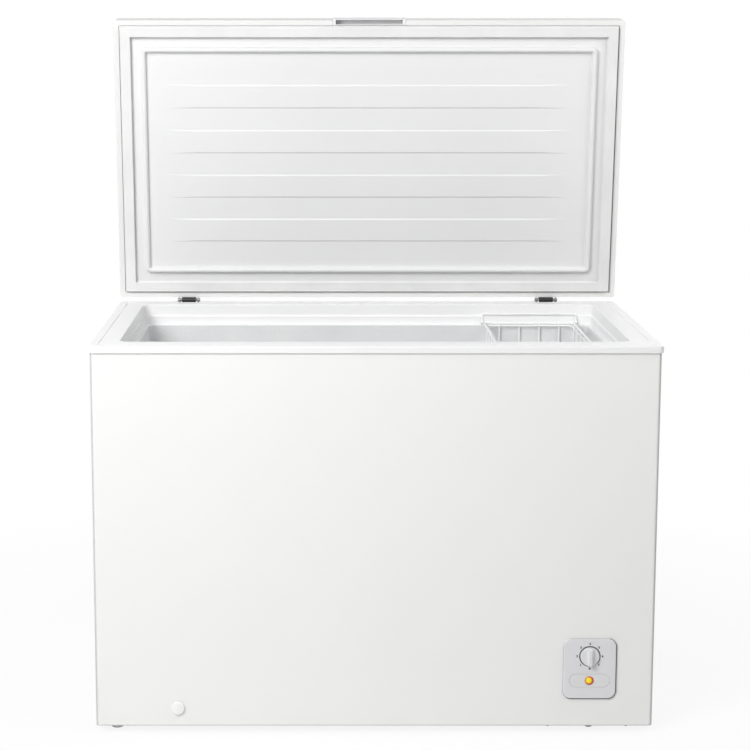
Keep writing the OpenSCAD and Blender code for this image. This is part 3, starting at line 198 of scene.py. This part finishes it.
class Finish:
    # one material with its shader and the few node chains that the finishes share
    def __init__(self, name, colour, rough, metal=0.0):
        self.mat = bpy.data.materials.new(name)
        self.mat.use_nodes = True
        self.tree = self.mat.node_tree
        self.shader = self.tree.nodes["Principled BSDF"]
        self.colour = colour
        self.shader.inputs["Base Color"].default_value = (*tone(*colour), 1)
        self.shader.inputs["Roughness"].default_value = rough
        self.shader.inputs["Metallic"].default_value = metal
        self.normal = None
        self.paint = None
        place = self.node("TexCoord")
        self.coords = place.outputs["Object"]
        self.facing = place.outputs["Normal"]

    def node(self, kind, **values):
        made = self.tree.nodes.new("ShaderNode" + kind)
        for key, value in values.items():
            made.inputs[key].default_value = value
        return made

    def link(self, start, end):
        self.tree.links.new(start, end)

    def stretched(self, scale):
        mapping = self.node("Mapping", Scale=scale)
        self.link(self.coords, mapping.inputs["Vector"])
        return mapping.outputs["Vector"]

    def cloud(self, scale, detail=3.0, place=None):
        noise = self.node("TexNoise", Scale=scale, Detail=detail)
        self.link(place or self.coords, noise.inputs["Vector"])
        return noise.outputs["Fac"]

    def cells(self, scale, feature="F1", output="Distance"):
        voronoi = self.node("TexVoronoi", Scale=scale)
        voronoi.feature = feature
        self.link(self.coords, voronoi.inputs["Vector"])
        return voronoi.outputs[output]

    def between(self, value, low, high, start=0.25, stop=0.75, curve="SMOOTHSTEP"):
        # low where value is at start, high where it is at stop
        span = self.node("MapRange")
        span.interpolation_type = curve
        span.inputs["From Min"].default_value = start
        span.inputs["From Max"].default_value = stop
        span.inputs["To Min"].default_value = low
        span.inputs["To Max"].default_value = high
        self.link(value, span.inputs["Value"])
        return span.outputs[0]

    def vary(self, value, other):
        # drifts the colour towards another one
        mix = self.node("MixRGB")
        mix.inputs["Color1"].default_value = (*tone(*self.colour), 1)
        mix.inputs["Color2"].default_value = (*tone(*other), 1)
        self.link(self.between(value, 0, 1), mix.inputs["Fac"])
        self.paint = mix.outputs[0]
        self.link(self.paint, self.shader.inputs["Base Color"])

    def shade(self, value, other):
        # lays another colour over the varied one where value is 1
        mix = self.node("MixRGB")
        self.link(self.paint, mix.inputs["Color1"])
        mix.inputs["Color2"].default_value = (*tone(*other), 1)
        self.link(value, mix.inputs["Fac"])
        self.paint = mix.outputs[0]
        self.link(self.paint, self.shader.inputs["Base Color"])

    def axis(self, vector, name):
        split = self.node("SeparateXYZ")
        self.link(vector, split.inputs[0])
        return split.outputs[name]

    def maths(self, operation, *values):
        made = self.node("Math")
        made.operation = operation
        for value, socket in zip(values, made.inputs):
            self.link(value, socket)
        return made.outputs[0]

    def rub(self, value, low, high):
        # lets the roughness wander
        self.link(self.between(value, low, high), self.shader.inputs["Roughness"])

    def relief(self, value, distance, strength):
        bump = self.node("Bump", Distance=distance, Strength=strength)
        self.link(value, bump.inputs["Height"])
        if self.normal:
            self.link(self.normal, bump.inputs["Normal"])
        self.normal = bump.outputs["Normal"]
        self.link(self.normal, self.shader.inputs["Normal"])

    def glowThrough(self, weight, reach):
        # light that travels a little under the surface
        self.shader.inputs["Subsurface Weight"].default_value = weight
        self.shader.inputs["Subsurface Radius"].default_value = (reach, reach, reach)


def whiteCoat():
    # powder-coated steel: a slight orange peel and a gloss that wanders a little; painted
    # shade greys the coat on the tight bends at the sides and along the wrapper's lower hem
    grey = {"flat": 0.3, "bent": 0.6, "sideBent": 0.95, "side": 0.998, "hemShade": 1.6 * mm,
            "hemEnd": 2.4 * mm}
    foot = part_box("outer_wrapper")[0].z
    f = Finish("whiteCoat", (0.902, 0.904, 0.897), 0.42)
    f.vary(f.cloud(1.6, 2), (0.896, 0.897, 0.892))
    aside = f.maths("ABSOLUTE", f.axis(f.facing, "X"))
    bendShade = f.maths("MULTIPLY", f.between(aside, 0, 1, grey["flat"], grey["bent"]),
                   f.between(aside, 1, 0, grey["sideBent"], grey["side"]))
    hemShade = f.between(f.axis(f.coords, "Z"), 1, 0, foot + grey["hemShade"], foot + grey["hemEnd"])
    # painted shade on the side bends and along the lower hem
    f.shade(f.maths("MAXIMUM", bendShade, hemShade), (0.76, 0.76, 0.755))
    f.rub(f.cloud(14), 0.39, 0.45)
    f.relief(f.cloud(420, 2), 0.00003, 0.3)
    f.relief(f.cloud(3.5, 1), 0.0006, 0.06)
    return f.mat


def zincSheet():
    # galvanised sheet with its spangle
    f = Finish("zincSheet", (0.72, 0.73, 0.74), 0.42, 0.85)
    spangle = f.cells(110, output="Color")
    grey = f.node("RGBToBW")
    f.link(spangle, grey.inputs[0])
    f.vary(grey.outputs[0], (0.69, 0.7, 0.712))
    f.rub(grey.outputs[0], 0.4, 0.46)
    f.relief(f.cloud(160), 0.00004, 0.3)
    return f.mat


def rigidFoam():
    f = Finish("rigidFoam", (0.93, 0.87, 0.69), 0.85)
    f.vary(f.cloud(26), (0.86, 0.76, 0.53))
    f.relief(f.cells(900), 0.0004, 0.5)
    return f.mat


def stuccoSheet():
    # white-coated aluminium with the pebbled print of tub liners
    f = Finish("stuccoSheet", (0.90, 0.905, 0.905), 0.33)
    f.vary(f.cloud(9), (0.87, 0.875, 0.88))
    f.relief(f.cells(170, "SMOOTH_F1"), 0.0007, 0.6)
    f.rub(f.cloud(30), 0.28, 0.38)
    return f.mat


def framePlastic():
    # moulding whose outward face is greyed with painted shade, so that it reads darker than its
    # throat
    grey = {"from": 2 * mm, "to": 5 * mm}
    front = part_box("top_frame")[0].y
    f = Finish("framePlastic", (0.95, 0.95, 0.95), 0.38)
    f.vary(f.cloud(5), (0.94, 0.94, 0.942))
    # painted shade: the outward face greyed towards the front
    f.shade(f.between(f.axis(f.coords, "Y"), 1, 0, front + grey["from"], front + grey["to"]),
            (0.905, 0.905, 0.905))
    f.rub(f.cloud(40), 0.34, 0.42)
    f.relief(f.cloud(900, 2), 0.00002, 0.3)
    return f.mat


def lidPlastic():
    # vacuum-formed sheet: satin, with a faint draw along its length
    f = Finish("lidPlastic", (0.897, 0.897, 0.897), 0.42)
    f.vary(f.cloud(3), (0.887, 0.887, 0.889))
    f.rub(f.cloud(24), 0.38, 0.48)
    f.relief(f.cloud(1.4, 2, f.stretched((1, 14, 14))), 0.0008, 0.1)
    f.relief(f.cloud(700, 2), 0.00002, 0.3)
    return f.mat


def sealVinyl():
    f = Finish("sealVinyl", (0.90, 0.90, 0.90), 0.5)
    f.vary(f.cloud(12), (0.87, 0.87, 0.872))
    f.relief(f.cloud(1200, 2), 0.00003, 0.4)
    f.glowThrough(0.08, 2 * mm)
    return f.mat


def ferriteStrip():
    f = Finish("ferriteStrip", (0.2, 0.17, 0.15), 0.7)
    f.vary(f.cloud(300), (0.26, 0.22, 0.2))
    return f.mat


def handlePlastic():
    f = Finish("handlePlastic", (0.915, 0.915, 0.92), 0.4)
    f.vary(f.cloud(14), (0.90, 0.90, 0.905))
    f.relief(f.cloud(1500, 2), 0.00002, 0.4)
    return f.mat


def bezelPlastic():
    # spark-textured moulding
    f = Finish("bezelPlastic", (0.838, 0.838, 0.846), 0.48)
    f.vary(f.cloud(30), (0.828, 0.828, 0.838))
    f.rub(f.cloud(120), 0.44, 0.54)
    f.relief(f.cloud(2600, 3), 0.00003, 0.6)
    return f.mat


def windowPlastic():
    f = Finish("windowPlastic", (0.838, 0.838, 0.842), 0.26)
    f.vary(f.cloud(20), (0.828, 0.828, 0.834))
    f.relief(f.cloud(300, 1), 0.00002, 0.2)
    return f.mat


def knobPlastic():
    f = Finish("knobPlastic", (0.87, 0.87, 0.873), 0.46)
    f.vary(f.cloud(40), (0.86, 0.86, 0.865))
    f.relief(f.cloud(2600, 2), 0.00002, 0.5)
    f.glowThrough(0.9, 8 * mm)
    return f.mat


def amberLens():
    # lit lens: yellow over the lamp, amber to red at the rim
    glow = {"yellow": (0.93, 0.88, 0.03), "amber": (0.85, 0.52, 0.04), "red": (0.74, 0.14, 0.02),
            "yellowTo": 0.44, "amberAt": 0.7, "redFrom": 0.95, "aside": -0.16, "up": 0.12,
            "strength": 0.06, "coat": 0.08}
    low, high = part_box("indicator_lens")
    centre = (low + high) / 2
    radius = (high.x - low.x) / 2
    lampAt = (centre.x + glow["aside"] * radius, 0, centre.z + glow["up"] * radius)
    f = Finish("amberLens", (0.95, 0.4, 0.08), 0.18)
    flat = f.node("Mapping", Scale=(1, 0, 1))
    f.link(f.coords, flat.inputs["Vector"])
    reach = f.node("VectorMath")
    reach.operation = "DISTANCE"
    reach.inputs[1].default_value = lampAt
    f.link(flat.outputs[0], reach.inputs[0])
    ramp = f.node("ValToRGB")
    stops = ramp.color_ramp.elements
    stops[0].position, stops[1].position = glow["yellowTo"], glow["redFrom"]
    stops.new(glow["amberAt"])
    for stop, name in zip(stops, ("yellow", "amber", "red")):
        stop.color = (*tone(*glow[name]), 1)
    f.link(f.between(reach.outputs["Value"], 0, 1, 0, radius, "LINEAR"), ramp.inputs[0])
    f.link(ramp.outputs[0], f.shader.inputs["Base Color"])
    f.link(ramp.outputs[0], f.shader.inputs["Emission Color"])
    f.shader.inputs["Emission Strength"].default_value = glow["strength"]
    f.shader.inputs["Coat Weight"].default_value = glow["coat"]
    return f.mat


def darkPlastic():
    f = Finish("darkPlastic", (0.13, 0.13, 0.135), 0.45)
    f.vary(f.cloud(60), (0.17, 0.17, 0.175))
    f.relief(f.cloud(1800, 2), 0.00003, 0.5)
    return f.mat


def platedCase():
    f = Finish("platedCase", (0.78, 0.78, 0.76), 0.38, 0.6)
    f.vary(f.cloud(70), (0.72, 0.73, 0.72))
    f.rub(f.cloud(160), 0.32, 0.46)
    return f.mat


def zincPlate():
    # zinc-plated steel, a touch yellow in places, brushed by handling
    f = Finish("zincPlate", (0.64, 0.64, 0.65), 0.36, 1.0)
    f.vary(f.cloud(90), (0.58, 0.57, 0.54))
    f.rub(f.cloud(220), 0.26, 0.44)
    f.relief(f.cloud(700, 3, f.stretched((1, 1, 0.15))), 0.00002, 0.4)
    return f.mat


def blackCoat():
    f = Finish("blackCoat", (0.07, 0.07, 0.075), 0.36)
    f.vary(f.cloud(50), (0.1, 0.1, 0.105))
    f.relief(f.cloud(900, 2), 0.00003, 0.4)
    return f.mat


def copperPipe():
    f = Finish("copperPipe", (0.86, 0.56, 0.42), 0.3, 1.0)
    f.vary(f.cloud(45, 4), (0.60, 0.36, 0.25))
    f.rub(f.cloud(110), 0.22, 0.46)
    return f.mat


def coilPipe(name, colour, other, metal):
    f = Finish(name, colour, 0.4, metal)
    f.vary(f.cloud(25), other)
    f.relief(f.cloud(400, 2), 0.00004, 0.3)
    return f.mat


def shellPaint():
    f = Finish("shellPaint", (0.06, 0.06, 0.064), 0.2)
    f.vary(f.cloud(8), (0.09, 0.09, 0.095))
    f.relief(f.cloud(260, 2), 0.00012, 0.4)
    f.shader.inputs["Coat Weight"].default_value = 0.5
    return f.mat


def mountRubber():
    f = Finish("mountRubber", (0.07, 0.07, 0.07), 0.75)
    f.vary(f.cloud(80), (0.12, 0.12, 0.12))
    f.relief(f.cloud(1100), 0.00004, 0.5)
    return f.mat


def drainPlastic():
    f = Finish("drainPlastic", (0.925, 0.925, 0.92), 0.36)
    f.vary(f.cloud(30), (0.90, 0.90, 0.895))
    f.relief(f.cloud(1400, 2), 0.00002, 0.4)
    return f.mat


def footPlastic():
    f = Finish("footPlastic", (0.93, 0.93, 0.925), 0.5)
    f.vary(f.cloud(60), (0.89, 0.89, 0.89))
    f.relief(f.cloud(900), 0.00004, 0.5)
    return f.mat


def padPlastic():
    # dark pad, grey from its flange up; vary reads 0.25 and 0.75 as its two colours
    flange = {"from": 12.6 * mm, "to": 13.4 * mm}
    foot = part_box("right_feet")[0].z
    f = Finish("padPlastic", (0.2, 0.2, 0.205), 0.55)
    height = f.axis(f.coords, "Z")
    f.vary(f.between(height, 0.25, 0.75, foot + flange["from"], foot + flange["to"]),
           (0.56, 0.56, 0.56))
    f.relief(f.cloud(900), 0.00004, 0.5)
    return f.mat


def wireCoat():
    # dipped plastic coat, thicker in places
    f = Finish("wireCoat", (0.96, 0.96, 0.96), 0.32)
    f.vary(f.cloud(20), (0.945, 0.945, 0.948))
    f.relief(f.cloud(240, 2), 0.00012, 0.3)
    return f.mat


def dialInk():
    f = Finish("dialInk", (0.1, 0.1, 0.12), 0.6)
    f.vary(f.cloud(400), (0.16, 0.16, 0.18))
    return f.mat


finishOf = {
    "white_sheet": whiteCoat(), "plain_sheet": zincSheet(), "foam": rigidFoam(),
    "liner_sheet": stuccoSheet(), "frame_plastic": framePlastic(), "lid_plastic": lidPlastic(),
    "seal": sealVinyl(), "magnet": ferriteStrip(), "handle_plastic": handlePlastic(),
    "panel_plastic": bezelPlastic(), "window_plastic": windowPlastic(),
    "knob_plastic": knobPlastic(), "lens": amberLens(), "dark_plastic": darkPlastic(),
    "control_case": platedCase(), "bright_steel": zincPlate(), "dark_steel": blackCoat(),
    "copper": copperPipe(),
    "coil_steel": coilPipe("coilSteel", (0.45, 0.45, 0.46), (0.38, 0.38, 0.39), 0.3),
    "coil_aluminium": coilPipe("coilAluminium", (0.8, 0.81, 0.82), (0.7, 0.71, 0.72), 1.0),
    "compressor_shell": shellPaint(), "mount_rubber": mountRubber(),
    "drain_plastic": drainPlastic(), "foot_plastic": footPlastic(), "wire": wireCoat(),
}
ink = dialInk()
footPad = padPlastic()
for node, cad in frame["nodes"].items():
    cad.data.materials.clear()
    cad.data.materials.append(finishOf[slotOf[node]])
print("finishes made:", len(finishOf) + 2)


# shared ways of making a piece

def finished(name, bm, node, mat=None, replaces=True, flat=False):
    # turns a bmesh into a piece that rides with a node's body
    mesh = bpy.data.meshes.new(name)
    bm.to_mesh(mesh)
    bm.free()
    for face in mesh.polygons:
        face.use_smooth = not flat
    obj = bpy.data.objects.new(name, mesh)
    scene.collection.objects.link(obj)
    mesh.materials.append(mat or finishOf[slotOf[node]])
    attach(obj, bodyOf[node])
    if replaces:
        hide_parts(node)
    return obj


# how the solids are welded, merged and softened
cleaning = {"merge": 0.002 * mm, "flat": radians(0.4), "corner": radians(32), "segments": 2,
            "aside": (0.13 * mm, 0.17 * mm, 0.11 * mm)}


def softenEdges(obj, width):
    bevel = obj.modifiers.new("softEdges", "BEVEL")
    bevel.width = width
    bevel.segments = cleaning["segments"]
    bevel.limit_method = "ANGLE"
    bevel.angle_limit = cleaning["corner"]
    bevel.use_clamp_overlap = False
    bevel.harden_normals = True
    even = obj.modifiers.new("evenShading", "WEIGHTED_NORMAL")
    even.keep_sharp = True


def welded(node):
    bm = bmesh.new()
    bm.from_mesh(frame["nodes"][node].data)
    bmesh.ops.remove_doubles(bm, verts=bm.verts, dist=cleaning["merge"])
    return bm


def dressed(node, width, mat=None):
    # the CAD solid's own shape with merged faces, soft edges and even shading
    bm = welded(node)
    low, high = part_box(node)
    # cut near the middle each way, so that no merged face has to run round an opening
    middle = (low + high) / 2 + Vector(cleaning["aside"])
    for across in (Vector((1, 0, 0)), Vector((0, 1, 0)), Vector((0, 0, 1))):
        everything = bm.verts[:] + bm.edges[:] + bm.faces[:]
        cut = bmesh.ops.bisect_plane(bm, geom=everything, plane_co=middle, plane_no=across)
        for part in cut["geom_cut"]:
            if isinstance(part, bmesh.types.BMEdge):
                part.seam = True
    bmesh.ops.dissolve_limit(bm, angle_limit=cleaning["flat"], verts=bm.verts, edges=bm.edges,
                             delimit={"SEAM"})
    obj = finished(node + "Made", bm, node, mat)
    if width:
        softenEdges(obj, width)
    else:
        obj.data.set_sharp_from_angle(angle=cleaning["corner"])


# the lid's pieces are modelled shut and then turned open about the hinge

lidJoint = next(joint for joint in frame["joints"] if joint["child"] == "lid")
hingeAt = Matrix.Translation(lidJoint["pos_m"])
shutting = Matrix.Rotation(radians(min(lidJoint["range_deg"])), 4, Vector(lidJoint["axis"]))
openLid = hingeAt @ shutting.inverted() @ hingeAt.inverted()
shutLid = openLid.inverted()


def shutBox(node):
    corners = [shutLid @ v.co for v in frame["nodes"][node].data.vertices]
    low = Vector(min(c[i] for c in corners) for i in range(3))
    high = Vector(max(c[i] for c in corners) for i in range(3))
    return low, high


def lidSeal():
    # bellows seal, one profile spun into four mitred sides and then spread to the lid's size
    seal = {"half": 12.5 * mm, "neck": 7.2 * mm, "barb": 7 * mm, "mitre": 0.5 * mm,
            "groove": 0.35 * mm, "block": 100 * mm, "edge": 0.25 * mm,
            "onMitre": 0.01 * mm, "nearMitre": 0.02 * mm}
    low, high = shutBox("lid_seal")
    base = high.z - seal["barb"]
    outline = [(-12.5, 0), (-12.5, -0.8), (-10, -2.2), (-7.9, -2.5), (-7.2, -4.4), (-8.6, -6.4),
               (-10.9, -7.3), (-12, -8.3), (-12, -9.6), (-10.9, -10.7), (8.9, -10.7),
               (10, -9.6), (10, -8.3), (8.9, -7.3), (6.3, -6.4), (5, -4.4), (5.7, -2.5),
               (10, -2.2), (12.5, -0.8), (12.5, 0), (1.2, 0), (1.2, 3), (1.5, 3), (1.5, 4.4),
               (1.2, 4.4), (0.8, 7), (-0.8, 7), (-1.2, 4.4), (-1.5, 4.4), (-1.5, 3), (-1.2, 3),
               (-1.2, 0)]
    bm = bmesh.new()
    block = seal["block"]
    ring = [bm.verts.new((block + out * mm, block + out * mm, base + up * mm))
            for out, up in outline]
    sides = [bm.edges.new((ring[i - 1], ring[i])) for i in range(len(ring))]
    bmesh.ops.spin(bm, geom=ring + sides, cent=(0, 0, 0), axis=(0, 0, 1), angle=2 * pi, steps=4,
                   use_merge=True)
    mitres = [e for e in bm.edges
              if all(abs(abs(v.co.x) - abs(v.co.y)) < seal["onMitre"] for v in e.verts)
              and (e.verts[0].co - e.verts[1].co).length < block]
    bmesh.ops.bevel(bm, geom=mitres, offset=seal["mitre"], offset_type="OFFSET", affect="EDGES",
                    segments=2, profile=0.5, material=-1, clamp_overlap=True)
    # the weld at each corner is a shallow groove
    for v in bm.verts:
        if abs(abs(v.co.x) - abs(v.co.y)) < seal["nearMitre"] and v.co.z < base - seal["neck"]:
            v.co.z += seal["groove"]
    middle = (low + high) / 2
    reach = Vector(((high.x - low.x) / 2 - seal["half"] - block,
                    (high.y - low.y) / 2 - seal["half"] - block, 0))
    for v in bm.verts:
        v.co.x += reach.x if v.co.x > 0 else -reach.x
        v.co.y += reach.y if v.co.y > 0 else -reach.y
    bmesh.ops.recalc_face_normals(bm, faces=bm.faces)
    shift = Matrix.Translation((middle.x, middle.y, 0))
    bmesh.ops.transform(bm, matrix=openLid @ shift, verts=bm.verts)
    softenEdges(finished("lidSealMade", bm, "lid_seal"), seal["edge"])


lidSeal()
print("lid seal made")


# print of the control panel, and a dark strip that stands in for the bezel's shadow line

def dialMarks():
    # numbers 0 to 7 round the knob, and the dark arc in the groove round it from the first
    # number to the last
    dial = {"count": 8, "step": 45, "first": -90, "reach": 25.4 * mm, "size": 6 * mm,
            "bold": 0.1 * mm, "copies": 3, "aside": 0.4 * mm, "prouder": 0.01 * mm,
            "thick": 0.05 * mm, "arcSteps": 84, "grooveDeep": 1 * mm, "arcIn": 0.35 * mm,
            "arcOut": 2.2 * mm}
    low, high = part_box("thermostat_knob")
    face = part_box("control_panel")[0].y
    centre = Vector(((low.x + high.x) / 2, face, (low.z + high.z) / 2))
    knobRadius = (high.x - low.x) / 2
    upright = Matrix.Rotation(pi / 2, 4, "X")
    bm = bmesh.new()
    for number in range(dial["count"]):
        text = bpy.data.curves.new("numeral", "FONT")
        text.body = str(number)
        text.size = dial["size"]
        text.extrude = dial["thick"]
        text.offset = dial["bold"]
        text.align_x = "CENTER"
        text.align_y = "CENTER"
        holder = bpy.data.objects.new("numeral", text)
        scene.collection.objects.link(holder)
        bpy.context.view_layer.update()
        seen = holder.evaluated_get(bpy.context.evaluated_depsgraph_get())
        flat = bpy.data.meshes.new_from_object(seen)
        turn = radians(dial["first"] - dial["step"] * number)
        spot = centre + Vector((cos(turn), 0, sin(turn))) * dial["reach"]
        # laid three times side by side, each a hair prouder, for a bold stroke
        flat.transform(Matrix.Translation(spot - Vector((dial["aside"], 0, 0))) @ upright)
        for _ in range(dial["copies"]):
            bm.from_mesh(flat)
            flat.transform(Matrix.Translation((dial["aside"], -dial["prouder"], 0)))
        bpy.data.meshes.remove(flat)
        bpy.data.objects.remove(holder)
        bpy.data.curves.remove(text)
    inner, outer = -knobRadius - dial["arcIn"], -knobRadius - dial["arcOut"]
    proud, deep = -dial["thick"], dial["grooveDeep"]
    start = bm.faces.new([bm.verts.new(centre + Vector((0, y, z))) for y, z in (
        (deep, inner), (proud, inner), (proud, outer), (deep, outer))])
    sweep = radians(dial["step"] * (dial["count"] - 1))
    bmesh.ops.spin(bm, geom=[start], cent=centre, axis=(0, 1, 0), angle=sweep,
                   steps=dial["arcSteps"])
    bmesh.ops.recalc_face_normals(bm, faces=bm.faces)
    finished("dialMarks", bm, "control_panel", ink, replaces=False, flat=True)


def panelGasket():
    # painted shade: a thin dark strip behind the bezel, shifted down and right, that shows as
    # the bezel's shadow line along its lower and right edges
    shadowStrip = {"out": 0.45 * mm, "shift": 0.5 * mm, "wall": 3 * mm, "below": 1.3 * mm,
              "corner": 16 * mm, "cornerSteps": 10}
    low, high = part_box("control_panel")
    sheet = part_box("outer_wrapper")[0].y
    middle = (low + high) / 2
    width = high.x - low.x + 2 * shadowStrip["out"]
    height = high.z - low.z + 2 * shadowStrip["out"]
    bm = bmesh.new()
    bmesh.ops.create_grid(bm, x_segments=1, y_segments=1, size=0.5)
    bmesh.ops.scale(bm, vec=(width, height, 1), verts=bm.verts)
    bmesh.ops.bevel(bm, geom=bm.verts[:], offset=shadowStrip["corner"] + shadowStrip["out"],
                    affect="VERTICES", segments=shadowStrip["cornerSteps"], profile=0.5, material=-1)
    bmesh.ops.inset_region(bm, faces=bm.faces[:], thickness=shadowStrip["wall"], use_boundary=True,
                           use_even_offset=True)
    inside = max(bm.faces, key=lambda f: len(f.verts))
    bmesh.ops.delete(bm, geom=[inside], context="FACES")
    raised = bmesh.ops.extrude_face_region(bm, geom=bm.faces[:])["geom"]
    bmesh.ops.translate(bm, vec=(0, 0, sheet - low.y - shadowStrip["below"]),
                        verts=[g for g in raised if isinstance(g, bmesh.types.BMVert)])
    bmesh.ops.recalc_face_normals(bm, faces=bm.faces)
    # shifted down and right, where the bezel's shadow falls
    seat = Vector((middle.x + shadowStrip["shift"], sheet, middle.z - shadowStrip["shift"]))
    upright = Matrix.Translation(seat) @ Matrix.Rotation(pi / 2, 4, "X")
    bmesh.ops.transform(bm, matrix=upright, verts=bm.verts)
    finished("panelGasket", bm, "control_panel", finishOf["mount_rubber"],
             replaces=False, flat=True)


dialMarks()
panelGasket()
print("dial printed and gasket made")


# screws

screwHead = {"height": 2.4 * mm, "crown": 0.66, "rings": 4, "segments": 24, "lip": 0.3 * mm,
             "shank": 2 * mm, "arm": 0.5 * mm, "reach": 1.9 * mm, "deep": 1.5 * mm,
             "taper": 0.55, "sharp": radians(40)}


def separateSolids(node, turn):
    # corners of each solid in a node, low and high, after a turn
    bm = welded(node)
    boxes = []
    for start in bm.verts:
        if start.tag:
            continue
        start.tag = True
        group = [start]
        for v in group:
            for e in v.link_edges:
                other = e.other_vert(v)
                if not other.tag:
                    other.tag = True
                    group.append(other)
        places = [turn @ v.co for v in group]
        boxes.append((Vector(min(p[i] for p in places) for i in range(3)),
                      Vector(max(p[i] for p in places) for i in range(3))))
    bm.free()
    return boxes


def crossScrew(bm, radius, length, place):
    # domed head with a cross recess, seated at the origin and pointing up before it is placed
    head = screwHead
    made = bmesh.new()
    crown = radius * head["crown"]
    rim = bmesh.ops.create_circle(made, segments=head["segments"], radius=crown)["verts"]
    bmesh.ops.translate(made, vec=(0, 0, head["height"]), verts=rim)
    loop = list({e for v in rim for e in v.link_edges})
    cross = []
    for quarter in range(4):
        turn = Matrix.Rotation(quarter * pi / 2, 3, "Z")
        for x, y in ((head["reach"], -head["arm"]), (head["reach"], head["arm"]),
                     (head["arm"], head["arm"])):
            cross.append(made.verts.new(turn @ Vector((x, y, head["height"]))))
    crossLoop = [made.edges.new((cross[i - 1], cross[i])) for i in range(len(cross))]
    bmesh.ops.bridge_loops(made, edges=loop + crossLoop)
    sunk = bmesh.ops.extrude_edge_only(made, edges=crossLoop)["geom"]
    floor = [g for g in sunk if isinstance(g, bmesh.types.BMVert)]
    bmesh.ops.translate(made, vec=(0, 0, -head["deep"]), verts=floor)
    bmesh.ops.scale(made, vec=(head["taper"], head["taper"], 1), verts=floor)
    bmesh.ops.edgeloop_fill(made, edges=[g for g in sunk if isinstance(g, bmesh.types.BMEdge)
                                         and all(v in floor for v in g.verts)])
    size, up = crown, head["height"]
    steps = []
    for i in range(1, head["rings"] + 1):
        turn = i * pi / 2 / head["rings"]
        steps.append((crown + (radius - crown) * sin(turn),
                      head["lip"] + (head["height"] - head["lip"]) * cos(turn)))
    steps += [(radius, 0), (head["shank"], 0), (head["shank"], -length)]
    for newSize, newUp in steps:
        grown = bmesh.ops.extrude_edge_only(made, edges=loop)["geom"]
        rim = [g for g in grown if isinstance(g, bmesh.types.BMVert)]
        ringVerts = set(rim)
        loop = [g for g in grown if isinstance(g, bmesh.types.BMEdge)
                and all(v in ringVerts for v in g.verts)]
        bmesh.ops.scale(made, vec=(newSize / size, newSize / size, 1), verts=rim)
        bmesh.ops.translate(made, vec=(0, 0, newUp - up), verts=rim)
        size, up = newSize, newUp
    bmesh.ops.edgeloop_fill(made, edges=loop)
    bmesh.ops.recalc_face_normals(made, faces=made.faces)
    bmesh.ops.transform(made, matrix=place, verts=made.verts)
    mesh = bpy.data.meshes.new("oneScrew")
    made.to_mesh(mesh)
    made.free()
    bm.from_mesh(mesh)
    bpy.data.meshes.remove(mesh)


def screws(node, facing, turn=Matrix.Identity(4), mat=None):
    # heads look down or back once turn is undone
    bm = bmesh.new()
    for low, high in separateSolids(node, turn.inverted()):
        radius = (high.x - low.x) / 2
        middle = (low + high) / 2
        if facing == "down":
            seat = Vector((middle.x, middle.y, low.z + screwHead["height"]))
            length = high.z - seat.z
            look = Matrix.Rotation(pi, 4, "X")
        else:
            seat = Vector((middle.x, high.y - screwHead["height"], middle.z))
            length = seat.y - low.y
            look = Matrix.Rotation(-pi / 2, 4, "X")
        crossScrew(bm, radius, length, turn @ Matrix.Translation(seat) @ look)
    obj = finished(node + "Made", bm, node, mat)
    obj.data.set_sharp_from_angle(angle=screwHead["sharp"])


screws("cover_screws", "back")
screws("bracket_screws", "back")
screws("leaf_screws", "back", openLid)
screws("base_screws", "down", mat=finishOf["dark_steel"])
print("screws made")


# every other piece, with the width of its soft edges in mm; 0 leaves them sharp

edgeOf = {
    "outer_wrapper": 0.35, "back_panel": 0.3, "bottom_pan": 0.3, "top_frame": 0.4,
    "inner_liner": 0.3, "lid_skin": 0.3, "lid_inner": 0.5, "lid_handle": 0.5,
    "control_panel": 0.35, "lamp_window": 0.2, "thermostat_knob": 0.4, "thermostat_shaft": 0.3,
    "drain_cap": 0.25, "drain_pipe": 0.3, "tub_plug": 0.3, "left_feet": 0.3, "right_feet": 0.3,
    "side_grille": 0.25, "rear_cover": 0.25, "machine_base": 0.25, "cord_inlet": 0.3,
    "hinge_bracket_left": 0.3, "hinge_bracket_right": 0.3, "hinge_leaf_left": 0.3,
    "hinge_leaf_right": 0.3, "hinge_pin_left": 0.3, "hinge_pin_right": 0.3,
    "indicator_lens": 0, "lamp_holder": 0.3, "thermostat": 0.3, "compressor": 0.4,
    "compressor_mounts": 0.4, "compressor_nuts": 0.3, "starter_relay": 0.5, "suction_pipe": 0,
    "discharge_pipe": 0, "charging_pipe": 0, "filter_drier": 0.2, "capillary_tube": 0,
    "evaporator_coil": 0, "condenser_coil": 0, "basket": 0, "basket_handle_front": 0,
    "basket_handle_rear": 0, "body_foam": 0, "lid_foam": 0, "seal_magnets": 0.2,
    "hinge_springs": 0,
}
for node, width in edgeOf.items():
    dressed(node, width * mm, mat=footPad if node == "right_feet" else None)
print("other pieces made:", len(edgeOf))
